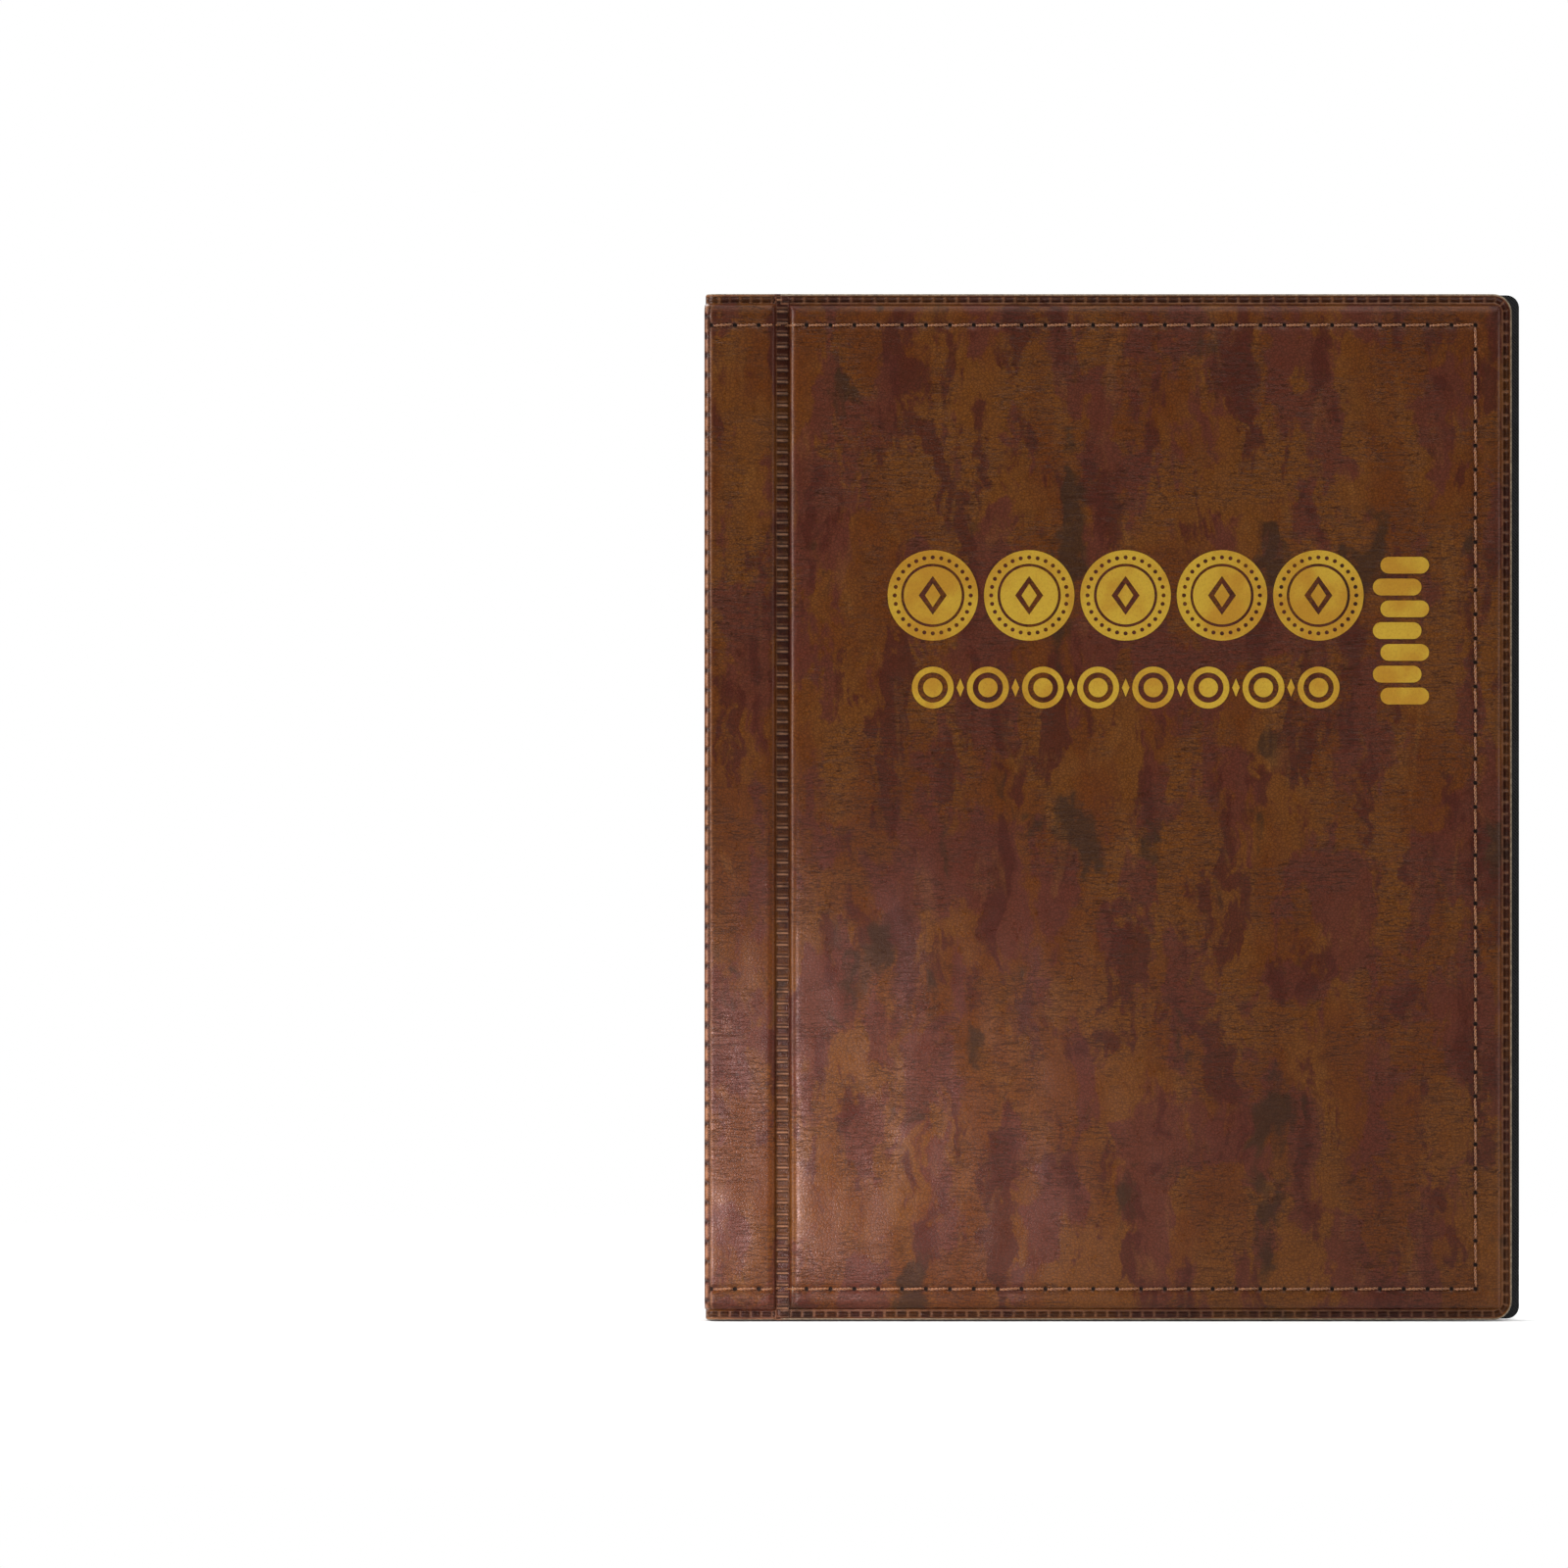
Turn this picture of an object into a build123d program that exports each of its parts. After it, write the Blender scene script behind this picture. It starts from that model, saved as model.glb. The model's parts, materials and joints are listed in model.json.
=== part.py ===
"""Coin album: a padded wrap cover, hidden binding posts and ten clear pages of twenty coin pockets.

The album stands on its bottom edge. +X runs from the spine to the opening edge, -Y is the front,
+Z is up, and the origin is the centre of the bottom of its box. The parts are modelled with x = 0
on the spine's outer face, and move to that origin when they are written.
"""

import os
from math import cos, radians, sin

from build123d import *

# Overall size (mm)
HEIGHT = 245.0
BACK_WIDTH = 195.0  # spine to the back cover's free edge
FRONT_WIDTH = 192.8  # the front cover is a little narrower
BACK_CORNER_R = 3.0
FRONT_CORNER_R = 4.5

# Layers of a cover, from the outside in
SKIN = 0.8
FOAM = 1.0
BOARD = 1.3
LINING = 0.3
INNER_GAP = 7.3  # room for the pages and the two clamp strips

# Distances from the album's middle plane
LINING_FACE = INNER_GAP / 2
BOARD_FACE = LINING_FACE + LINING
FOAM_FACE = BOARD_FACE + BOARD
CORE_FACE = FOAM_FACE + FOAM
OUTER_FACE = CORE_FACE + SKIN
BORDER_FACE = BOARD_FACE + SKIN  # outer face of the flat welded border

# Plan of a cover
STRIP_END = 17.0  # raised binding strip, measured from the spine
PANEL_START = 20.2  # raised padded panel
HINGE_X = 18.0
HINGE_GAP = 0.2  # half the gap left between the two halves of the hinge web
SIDE_BORDER = 2.4
END_BORDER = 2.6
PANEL_ROUND = 1.2  # rounding of the padded panel's edges
SPINE_ROUND = 2.0
SPINE_INNER = 2.3  # inner face of the spine board's chamber
FIT = 0.05  # clearance round boards, padding and clamp strips
OVERCUT = 1.0  # how far a cutting shape runs past the solid it cuts

# Stitching
STITCH_PITCH = 5.7
STITCH_LENGTH = 4.7
STITCH_R = 0.2
STITCH_LIFT = 0.02  # gap between a stitch and its channel's floor
STITCH_INSET_SIDE = 8.8
STITCH_INSET_END = 7.5
CHANNEL_WIDTH = 0.9
CHANNEL_DEPTH = 0.45
STRIP_CHANNEL_MARGIN = 0.6  # a binding strip's channel stops this far inside its flat face
STRIP_STITCH_MARGIN = 0.4

# Binding
STRIP_BOARD = 2.2
CLAMP_START = 3.0
CLAMP_END = 21.6
CLAMP = 0.82
POST_X = 9.5
POST_HEIGHTS = (40.0, 122.5, 205.0)
POST_R = 2.0
POST_CLEARANCE = 0.1
POST_BORE_R = 1.3
POST_BORE_FLOOR = 1.0
SCREW_R = 1.22
SCREW_LENGTH = 5.0
HEAD_R = 4.5
HEAD = 0.7
SLOT_LENGTH = 6.0  # the screwdriver slot in a screw's head
SLOT_WIDTH = 0.8
SLOT_DEPTH = 0.35
PAGE_HOLE_R = 2.3

# Pages
PAGE_COUNT = 10
PAGE_PITCH = 0.55
PAGE_EDGE = 181.6  # free edge of the pages
COLUMNS = 4
ROWS = 5
POCKET_WIDTH = 38.6  # pitch of the pockets across the page
POCKET_HEIGHT = 46.0
WELD_WIDTH = 2.1
LEAF = 0.40  # thickness of the welded films
BASE_FILM = 0.14
POCKET_FILM = 0.10
FLAP_FILM = 0.06
FLAP_GAP = 0.03  # between a flap and the base film behind it
POCKET_MOUTH = 0.15  # the pocket film starts this part of a pocket below its row weld
LEAF_GAP = 0.3  # gap on each side of a leaf's bend line
FAN_ANGLE = 95.0  # the first page's turn when the front cover lies fully open
FAN_CLEARANCE = 0.5
FIRST_BEND_X = 22.9

PAGE_HEIGHT = ROWS * POCKET_HEIGHT + WELD_WIDTH
PAGE_BOTTOM = (HEIGHT - PAGE_HEIGHT) / 2
POCKETS_START = PAGE_EDGE - WELD_WIDTH / 2 - COLUMNS * POCKET_WIDTH
FIRST_ROW_WELD = PAGE_BOTTOM + WELD_WIDTH / 2

# Gold foil ornament on the front cover
FOIL = 0.05
COINS = 5
COIN_ROW_Z = 173.0
COIN_ROW_START = 54.5
COIN_ROW_PITCH = 23.0
COIN_R = 10.8
COIN_BEADS = 28
SMALL_COINS = 8
SMALL_ROW_Z = 151.0
SMALL_ROW_START = 54.5
SMALL_ROW_PITCH = 13.15
SMALL_COIN_R = 5.0
SMALL_RING_R = 3.6  # inner radius of a small coin's outer ring
SMALL_CENTRE_R = 2.3
LOZENGE_WIDTH = 1.8
LOZENGE_HEIGHT = 4.4
STACK_X = 166.2
STACK_BOTTOM = 146.4
STACK_COINS = 7
STACK_PITCH = 5.2
STACK_COIN_WIDTH = 11.6
STACK_COIN_HEIGHT = 4.0
STACK_SLIDE = 0.9  # how far the stacked coins lie to the left and right in turn

FRONT, BACK = -1, 1


def block(x0, x1, y0, y1, z0, z1):
    """A box between two corners, with y0 and y1 in either order."""
    size = (x1 - x0, abs(y1 - y0), z1 - z0)
    centre = Pos((x0 + x1) / 2, (y0 + y1) / 2, (z0 + z1) / 2)
    return centre * Box(*size)


def plate(side, x0, x1, z0, z1, inner, outer, corner):
    """An upright plate on one side of the middle plane, with its free-edge corners rounded."""
    solid = block(x0, x1, side * inner, side * outer, z0, z1)
    free_edges = solid.edges().filter_by(Axis.Y).group_by(Axis.X)[-1]
    return fillet(free_edges, corner)


def group(solids):
    return Compound(children=list(solids))


def write(name, shape):
    export_step(Pos(-BACK_WIDTH / 2, 0, 0) * shape, f"parts/{name}.step")


def along_y(radius, x, z, y0, y1):
    """A cylinder lying along Y."""
    middle = Location((x, (y0 + y1) / 2, z), (90, 0, 0))
    return middle * Cylinder(radius, abs(y1 - y0))


def stitch_row(side, start, end):
    """Stitches between two (x, z) points, with a margin left at both ends."""
    length = abs(end[0] - start[0]) + abs(end[1] - start[1])
    count = int(length / STITCH_PITCH)
    upright = start[0] == end[0]
    turn = (0, 0, 0) if upright else (0, 90, 0)
    y = side * (OUTER_FACE - CHANNEL_DEPTH + STITCH_R + STITCH_LIFT)
    margin = (length - count * STITCH_PITCH) / 2
    for i in range(count):
        along = (margin + (i + 0.5) * STITCH_PITCH) / length
        x = start[0] + along * (end[0] - start[0])
        z = start[1] + along * (end[1] - start[1])
        yield Location((x, y, z), turn) * Cylinder(STITCH_R, STITCH_LENGTH)


def channel(side, x0, x1, z0, z1):
    """The pressed groove that a row of stitches lies in."""
    half = CHANNEL_WIDTH / 2
    floor = side * (OUTER_FACE - CHANNEL_DEPTH)
    return block(x0 - half, x1 + half, floor, side * (OUTER_FACE + OVERCUT), z0 - half, z1 + half)


def lozenge(width, height):
    points = [(-width / 2, 0), (0, -height / 2), (width / 2, 0), (0, height / 2)]
    return make_face(Polyline(*points, close=True))


def coin_motif(radius, beads):
    """A coin seen face on: a solid disc with a ring of beads, a thin circle and a lozenge cut out."""
    bead_circle, bead_r = 0.84 * radius, 0.045 * radius
    circle_outer, circle_inner = 0.70 * radius, 0.64 * radius
    face = Circle(radius)
    face -= [place * Circle(bead_r) for place in PolarLocations(bead_circle, beads)]
    face -= Circle(circle_outer) - Circle(circle_inner)
    face -= lozenge(0.62 * radius, 0.86 * radius)
    face += lozenge(0.34 * radius, 0.52 * radius)
    return face


def foil_sketch():
    """The ornament: a row of coins, a row of smaller ones with lozenges between, and a stack."""
    shapes = []
    for i in range(COINS):
        place = Pos(COIN_ROW_START + i * COIN_ROW_PITCH, COIN_ROW_Z)
        shapes.append(place * coin_motif(COIN_R, COIN_BEADS))
    small_coin = Circle(SMALL_COIN_R) - Circle(SMALL_RING_R) + Circle(SMALL_CENTRE_R)
    for i in range(SMALL_COINS):
        place = Pos(SMALL_ROW_START + i * SMALL_ROW_PITCH, SMALL_ROW_Z)
        shapes.append(place * small_coin)
    for i in range(SMALL_COINS - 1):
        place = Pos(SMALL_ROW_START + (i + 0.5) * SMALL_ROW_PITCH, SMALL_ROW_Z)
        shapes.append(place * lozenge(LOZENGE_WIDTH, LOZENGE_HEIGHT))
    for i in range(STACK_COINS):
        slide = STACK_SLIDE * (-1) ** i
        place = Pos(STACK_X + slide, STACK_BOTTOM + (i + 0.5) * STACK_PITCH)
        shapes.append(place * SlotOverall(STACK_COIN_WIDTH, STACK_COIN_HEIGHT))
    return shapes


def foil_solids():
    """The ornament as thin solids stamped onto the front cover's outer face."""
    upright = Location((0, -OUTER_FACE, 0), (90, 0, 0))
    return [upright * extrude(shape, FOIL) for shape in foil_sketch()]


def cover(side, name, width, corner):
    """One hinged cover board: skin, padding, board, lining and stitching."""
    start = HINGE_X + HINGE_GAP
    panel_end = width - SIDE_BORDER
    top = HEIGHT - END_BORDER
    raised = plate(side, PANEL_START, panel_end, END_BORDER, top, BOARD_FACE, OUTER_FACE, corner)
    outer_edges = raised.faces().sort_by(Axis.Y)[-1 if side == BACK else 0].edges()
    raised = fillet(outer_edges, PANEL_ROUND)
    border = plate(side, start, width, 0, HEIGHT, BOARD_FACE, BORDER_FACE, corner)
    core = (PANEL_START + SKIN, panel_end - SKIN, END_BORDER + SKIN, top - SKIN)
    skin = raised + border - plate(side, *core, BOARD_FACE, CORE_FACE, corner)

    right = FRONT_WIDTH - STITCH_INSET_SIDE
    low, high = STITCH_INSET_END, HEIGHT - STITCH_INSET_END
    left = PANEL_START + PANEL_ROUND
    skin -= channel(side, right, right, low, high)
    skin -= channel(side, left, right, low, low)
    skin -= channel(side, left, right, high, high)
    write(f"{name}_skin", skin)

    x0, x1, z0, z1 = core
    inside = (x0 + FIT, x1 - FIT, z0 + FIT, z1 - FIT)
    write(f"{name}_padding", plate(side, *inside, FOAM_FACE + FIT, CORE_FACE - FIT, corner))
    write(f"{name}_board", plate(side, *inside, BOARD_FACE + FIT, FOAM_FACE, corner))
    write(f"{name}_lining", plate(side, start, width, 0, HEIGHT, LINING_FACE, BOARD_FACE, corner))
    stitches = [
        *stitch_row(side, (right, low), (right, high)),
        *stitch_row(side, (left, low), (right - STITCH_PITCH / 2, low)),
        *stitch_row(side, (left, high), (right - STITCH_PITCH / 2, high)),
    ]
    write(f"{name}_stitching", group(stitches))


def post_holes(radius, y0, y1):
    return [along_y(radius, POST_X, z, y0, y1) for z in POST_HEIGHTS]


def screw_slot(z, head_face):
    """The screwdriver slot, cut back from the head's outer face."""
    half_length, half_width = SLOT_LENGTH / 2, SLOT_WIDTH / 2
    x0, x1 = POST_X - half_length, POST_X + half_length
    return block(x0, x1, head_face, head_face + SLOT_DEPTH, z - half_width, z + half_width)


def binding_block():
    """The fixed spine: wrap skin, boards, lining, clamp strips, posts and screws."""
    end = HINGE_X - HINGE_GAP
    top = HEIGHT - END_BORDER
    raised = block(0, STRIP_END, -OUTER_FACE, OUTER_FACE, END_BORDER, top)
    raised = fillet(raised.edges().filter_by(Axis.Z).group_by(Axis.X)[0], SPINE_ROUND)
    chamber = block(SKIN, STRIP_END - SKIN, -CORE_FACE, CORE_FACE, END_BORDER + SKIN, top - SKIN)
    chamber = fillet(chamber.edges().filter_by(Axis.Z).group_by(Axis.X)[0], SPINE_ROUND - SKIN)
    border = block(SPINE_INNER - SKIN, end, -BORDER_FACE, BORDER_FACE, 0, HEIGHT)
    inside = block(SPINE_INNER, end + OVERCUT, -BOARD_FACE, BOARD_FACE, -OVERCUT, HEIGHT + OVERCUT)
    skin = raised + border - chamber - inside
    low, high = STITCH_INSET_END, HEIGHT - STITCH_INSET_END
    for side in (FRONT, BACK):
        for z in (low, high):
            skin -= channel(side, SPINE_ROUND + STRIP_CHANNEL_MARGIN, STRIP_END - STRIP_CHANNEL_MARGIN, z, z)
    write("spine_skin", skin)

    stitches = []
    for side in (FRONT, BACK):
        for z in (low, high):
            row_start = (SPINE_ROUND + STRIP_STITCH_MARGIN, z)
            stitches += stitch_row(side, row_start, (STRIP_END - STRIP_STITCH_MARGIN, z))
    write("strip_stitching", group(stitches))

    z0, z1 = END_BORDER + SKIN + FIT, top - SKIN - FIT
    half = CORE_FACE - SPINE_ROUND + SKIN
    write("spine_board", block(SKIN + FIT, SPINE_INNER - FIT, -half, half, z0, z1))

    for side, name in ((FRONT, "front"), (BACK, "back")):
        outer = CORE_FACE - FIT
        inner = outer - STRIP_BOARD
        board = block(SPINE_INNER, STRIP_END - SKIN - FIT, side * inner, side * outer, z0, z1)
        beyond = side * (outer + OVERCUT)
        board -= post_holes(POST_R + POST_CLEARANCE, side * (inner - OVERCUT), beyond)
        board -= post_holes(HEAD_R + POST_CLEARANCE, side * (outer - HEAD - FIT), beyond)
        write(f"{name}_strip_board", board)

    lining = block(SPINE_INNER, end, -BOARD_FACE, BOARD_FACE, 0, HEIGHT)
    lining -= block(
        SPINE_INNER + LINING, end + OVERCUT, -LINING_FACE, LINING_FACE, -OVERCUT, HEIGHT + OVERCUT
    )
    lining -= post_holes(POST_R + POST_CLEARANCE, -OUTER_FACE, OUTER_FACE)
    write("spine_lining", lining)

    z0, z1 = PAGE_BOTTOM, PAGE_BOTTOM + PAGE_HEIGHT
    for side, name in ((FRONT, "front"), (BACK, "back")):
        outer = LINING_FACE - FIT
        clamp = block(CLAMP_START, CLAMP_END, side * (outer - CLAMP), side * outer, z0, z1)
        clamp -= post_holes(POST_R + POST_CLEARANCE, -OUTER_FACE, OUTER_FACE)
        write(f"{name}_clamp_strip", clamp)

    head_inner = CORE_FACE - FIT - HEAD
    posts = []
    screws = []
    for z in POST_HEIGHTS:
        post = along_y(POST_R, POST_X, z, -head_inner + POST_CLEARANCE, head_inner)
        post += along_y(HEAD_R, POST_X, z, head_inner, head_inner + HEAD)
        post -= along_y(POST_BORE_R, POST_X, z, -OUTER_FACE, head_inner - POST_BORE_FLOOR)
        posts.append(post)
        screw = along_y(SCREW_R, POST_X, z, -head_inner, -head_inner + SCREW_LENGTH)
        screw += along_y(HEAD_R, POST_X, z, -head_inner - HEAD, -head_inner)
        screw -= screw_slot(z, -head_inner - HEAD)
        screws.append(screw)
    write("binding_posts", group(posts))
    write("binding_screws", group(screws))


def page_y(i):
    return (i - (PAGE_COUNT - 1) / 2) * PAGE_PITCH


def page_angle(i):
    """Degrees that page i turns when the front cover lies fully open."""
    return FAN_ANGLE * (PAGE_COUNT - i) / PAGE_COUNT


def bend_lines():
    """Where each page bends, each far enough along to clear the page in front when they fan out."""
    lines = [FIRST_BEND_X]
    for i in range(1, PAGE_COUNT):
        angle = radians(page_angle(i))
        step = (FAN_CLEARANCE - PAGE_PITCH * cos(angle)) / sin(angle)
        lines.append(lines[-1] + max(0, step))
    return lines


def pocket_corners():
    """The top left corner of each pocket, where its left weld's centre meets its row weld's."""
    for row in range(ROWS):
        for column in range(COLUMNS):
            x = POCKETS_START + column * POCKET_WIDTH
            yield x, FIRST_ROW_WELD + (row + 1) * POCKET_HEIGHT


def flap_outline(x, z):
    """A pocket's tuck-in flap: a tongue with a rounded left end and an S-curve up to the right."""

    def at(across, down):
        """A point given in parts of the pocket's width and height."""
        return x + across * POCKET_WIDTH, z - down * POCKET_HEIGHT

    top = WELD_WIDTH / 2 / POCKET_HEIGHT
    top_left, top_right = at(0.08, top), at(0.96, top)
    side_end = at(0.114, 0.19)
    tongue_left, tongue_right = at(0.29, 0.302), at(0.64, 0.302)
    edge = Line(top_left, side_end)
    edge += Spline(side_end, at(0.184, 0.275), tongue_left)
    edge += Line(tongue_left, tongue_right)
    edge += Spline(tongue_right, at(0.748, 0.267), at(0.825, 0.146), at(0.88, 0.055), top_right)
    edge += Line(top_right, top_left)
    return make_face(edge)


def slab(faces, y, thickness):
    """Flat faces drawn as (x, z), raised into sheets that start at y and run towards -Y."""
    upright = Location((0, y, 0), (90, 0, 0))
    return [upright * extrude(face, thickness) for face in faces]


def rect(x0, x1, z0, z1):
    return Pos((x0 + x1) / 2, (z0 + z1) / 2) * Rectangle(x1 - x0, z1 - z0)


def weld_sketch():
    """The grid of welds: full rows, and column welds that stop below each pocket's mouth."""
    half = WELD_WIDTH / 2
    left = POCKETS_START - half
    grid = Sketch()
    for row in range(ROWS + 1):
        z = FIRST_ROW_WELD + row * POCKET_HEIGHT
        grid += rect(left, PAGE_EDGE, z - half, z + half)
    for column in range(COLUMNS + 1):
        x = POCKETS_START + column * POCKET_WIDTH
        for row in range(ROWS):
            z = FIRST_ROW_WELD + row * POCKET_HEIGHT
            grid += rect(x - half, x + half, z, z + (1 - POCKET_MOUTH) * POCKET_HEIGHT)
    return grid


def pages():
    """Ten leaves that turn at their bend lines, and their margins held in the binding."""
    top = PAGE_BOTTOM + PAGE_HEIGHT
    back = LEAF / 2
    base_face = back - BASE_FILM
    film_faces = []
    flap_faces = []
    for x, z in pocket_corners():
        mouth = z - POCKET_MOUTH * POCKET_HEIGHT
        film_faces.append(rect(x, x + POCKET_WIDTH, z - POCKET_HEIGHT, mouth))
        flap_faces.append(flap_outline(x, z))
    welds = slab(weld_sketch().faces(), base_face, LEAF - BASE_FILM)
    pockets = slab(film_faces, -back + POCKET_FILM, POCKET_FILM)
    pocket_film = pockets[0].fuse(*pockets[1:], *welds)
    flaps = group(slab(flap_faces, base_face - FLAP_GAP, FLAP_FILM))

    margins = []
    for i, bend in enumerate(bend_lines()):
        shift = Pos(0, page_y(i), 0)
        name = f"page_{i + 1:02d}"
        base = block(bend + LEAF_GAP, PAGE_EDGE, base_face, back, PAGE_BOTTOM, top)
        write(f"{name}_film", shift * base)
        write(f"{name}_pockets", shift * pocket_film)
        write(f"{name}_flaps", shift * flaps)
        margin = block(CLAMP_START, bend - LEAF_GAP, -back, back, PAGE_BOTTOM, top)
        margins.append(shift * (margin - post_holes(PAGE_HOLE_R, -OVERCUT, OVERCUT)))
    write("page_margins", group(margins))


os.makedirs("parts", exist_ok=True)
cover(FRONT, "front_cover", FRONT_WIDTH, FRONT_CORNER_R)
cover(BACK, "back_cover", BACK_WIDTH, BACK_CORNER_R)
write("front_cover_foil", group(foil_solids()))
binding_block()
pages()
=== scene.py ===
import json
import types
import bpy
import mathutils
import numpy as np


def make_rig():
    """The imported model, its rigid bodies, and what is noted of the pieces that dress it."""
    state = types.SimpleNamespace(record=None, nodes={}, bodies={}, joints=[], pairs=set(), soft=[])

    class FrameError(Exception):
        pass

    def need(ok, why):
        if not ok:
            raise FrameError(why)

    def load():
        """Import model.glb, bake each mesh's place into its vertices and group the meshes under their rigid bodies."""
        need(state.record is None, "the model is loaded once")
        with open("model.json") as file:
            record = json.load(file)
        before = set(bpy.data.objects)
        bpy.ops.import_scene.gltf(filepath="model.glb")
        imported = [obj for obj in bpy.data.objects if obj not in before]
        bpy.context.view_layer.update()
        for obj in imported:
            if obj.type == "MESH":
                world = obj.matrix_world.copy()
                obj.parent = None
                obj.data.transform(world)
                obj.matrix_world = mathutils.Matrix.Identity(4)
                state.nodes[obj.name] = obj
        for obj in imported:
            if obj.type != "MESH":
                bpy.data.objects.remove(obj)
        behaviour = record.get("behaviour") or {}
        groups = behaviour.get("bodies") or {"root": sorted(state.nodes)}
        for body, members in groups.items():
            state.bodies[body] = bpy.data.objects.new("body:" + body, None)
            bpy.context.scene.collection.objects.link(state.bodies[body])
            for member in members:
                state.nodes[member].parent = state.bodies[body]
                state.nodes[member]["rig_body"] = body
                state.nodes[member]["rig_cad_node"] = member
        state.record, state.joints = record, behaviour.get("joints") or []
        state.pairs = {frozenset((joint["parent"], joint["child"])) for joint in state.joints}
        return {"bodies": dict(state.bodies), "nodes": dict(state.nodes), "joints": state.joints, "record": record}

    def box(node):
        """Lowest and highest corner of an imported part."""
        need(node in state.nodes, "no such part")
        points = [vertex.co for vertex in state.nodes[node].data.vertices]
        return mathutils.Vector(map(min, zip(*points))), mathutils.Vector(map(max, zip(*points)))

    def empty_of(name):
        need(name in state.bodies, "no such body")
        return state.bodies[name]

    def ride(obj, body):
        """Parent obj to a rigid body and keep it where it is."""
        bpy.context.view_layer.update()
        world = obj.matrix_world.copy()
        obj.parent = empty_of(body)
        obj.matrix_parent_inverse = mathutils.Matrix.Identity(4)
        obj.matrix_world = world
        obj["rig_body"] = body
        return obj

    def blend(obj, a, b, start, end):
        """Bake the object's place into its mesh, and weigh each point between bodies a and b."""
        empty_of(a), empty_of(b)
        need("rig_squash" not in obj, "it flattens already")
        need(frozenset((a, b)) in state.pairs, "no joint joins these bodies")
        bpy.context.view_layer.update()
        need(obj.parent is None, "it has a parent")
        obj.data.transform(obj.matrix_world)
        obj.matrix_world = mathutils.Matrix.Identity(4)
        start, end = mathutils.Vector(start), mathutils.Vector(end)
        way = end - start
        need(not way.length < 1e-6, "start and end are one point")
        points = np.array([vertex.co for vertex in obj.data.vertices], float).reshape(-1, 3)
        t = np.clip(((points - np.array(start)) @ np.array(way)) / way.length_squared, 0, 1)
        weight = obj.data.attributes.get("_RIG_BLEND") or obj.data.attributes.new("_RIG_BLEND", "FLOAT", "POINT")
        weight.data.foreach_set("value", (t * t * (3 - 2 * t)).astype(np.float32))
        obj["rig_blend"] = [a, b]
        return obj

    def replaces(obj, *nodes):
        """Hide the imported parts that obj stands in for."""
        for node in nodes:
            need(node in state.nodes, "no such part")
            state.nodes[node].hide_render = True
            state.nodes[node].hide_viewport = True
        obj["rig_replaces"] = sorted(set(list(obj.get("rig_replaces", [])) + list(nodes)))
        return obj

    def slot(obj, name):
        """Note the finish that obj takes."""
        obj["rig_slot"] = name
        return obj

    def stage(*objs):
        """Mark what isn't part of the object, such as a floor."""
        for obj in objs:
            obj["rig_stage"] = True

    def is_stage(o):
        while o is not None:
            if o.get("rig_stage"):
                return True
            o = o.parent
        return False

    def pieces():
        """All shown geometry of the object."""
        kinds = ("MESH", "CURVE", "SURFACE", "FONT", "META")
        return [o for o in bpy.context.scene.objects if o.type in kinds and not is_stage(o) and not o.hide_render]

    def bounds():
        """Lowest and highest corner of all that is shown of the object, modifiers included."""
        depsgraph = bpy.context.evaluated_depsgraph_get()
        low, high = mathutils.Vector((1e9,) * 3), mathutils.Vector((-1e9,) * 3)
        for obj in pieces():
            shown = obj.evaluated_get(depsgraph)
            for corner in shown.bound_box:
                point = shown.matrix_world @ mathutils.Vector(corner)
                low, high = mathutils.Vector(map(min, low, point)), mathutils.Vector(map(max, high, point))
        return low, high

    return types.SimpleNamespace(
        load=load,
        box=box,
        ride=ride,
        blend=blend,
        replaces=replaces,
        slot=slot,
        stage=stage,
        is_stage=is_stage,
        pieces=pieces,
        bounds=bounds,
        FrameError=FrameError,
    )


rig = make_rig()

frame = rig.load()

import json
import math

import bpy
import numpy as np
from mathutils import Vector

# The looks of a coin album. Lengths below are in millimetres, with x measured from the spine's
# outer face, y from the album's middle plane and z from its bottom edge; place() turns them into
# the frame's metres. "Outward" is the distance from the middle plane on either cover's side.

cad_low, cad_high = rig.bounds()

MM = 0.001
SPINE_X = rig.box("spine_skin")[0].x / MM
FRONT, BACK = -1, 1


def box_mm(node):
    """A CAD node's lowest and highest corners, in millimetres from the spine's face."""
    low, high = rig.box(node)
    shift = np.array([SPINE_X, 0, 0])
    return np.array(low) / MM - shift, np.array(high) / MM - shift


skin_low, skin_high = box_mm("front_cover_skin")
padding_low, padding_high = box_mm("front_cover_padding")
stitch_low, stitch_high = box_mm("front_cover_stitching")
lining_low, lining_high = box_mm("front_cover_lining")

HEIGHT = skin_high[2]
WIDTHS = {FRONT: skin_high[0], BACK: box_mm("back_cover_skin")[1][0]}
CORNERS = {FRONT: 4.5, BACK: 3.0}
OUTER = -skin_low[1]
LINING_OUTER = -lining_low[1]
PADDING_TOP = -padding_low[1] + 0.04
LINING_FACE = -lining_high[1]
SKIN_AND_FIT = 0.85
PANEL_START = padding_low[0] - SKIN_AND_FIT
PANEL_BOTTOM = padding_low[2] - SKIN_AND_FIT
SIDE_BORDER = WIDTHS[FRONT] - padding_high[0] - SKIN_AND_FIT
STRIP_END = box_mm("front_strip_board")[1][0] + SKIN_AND_FIT
BORDER_LEVEL = LINING_OUTER + 0.8

LEATHER_TOP = OUTER - 0.02  # the leather's flat face, just under the foil ornament
ROLL = 2.6  # width of the padded edges' rounding
PANEL_CORNER = 1.6
STITCH_PITCH = 5.7
STITCH_R = 0.2
STITCH_RIGHT = stitch_high[0] - STITCH_R
STITCH_LOW = stitch_low[2] + STITCH_R
STITCH_HIGH = stitch_high[2] - STITCH_R
LEVEL_ROWS = (STITCH_LOW, STITCH_HIGH)
LADDER_PITCH = 2.8
SPINE_LADDER_PITCH = 4.7

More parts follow.
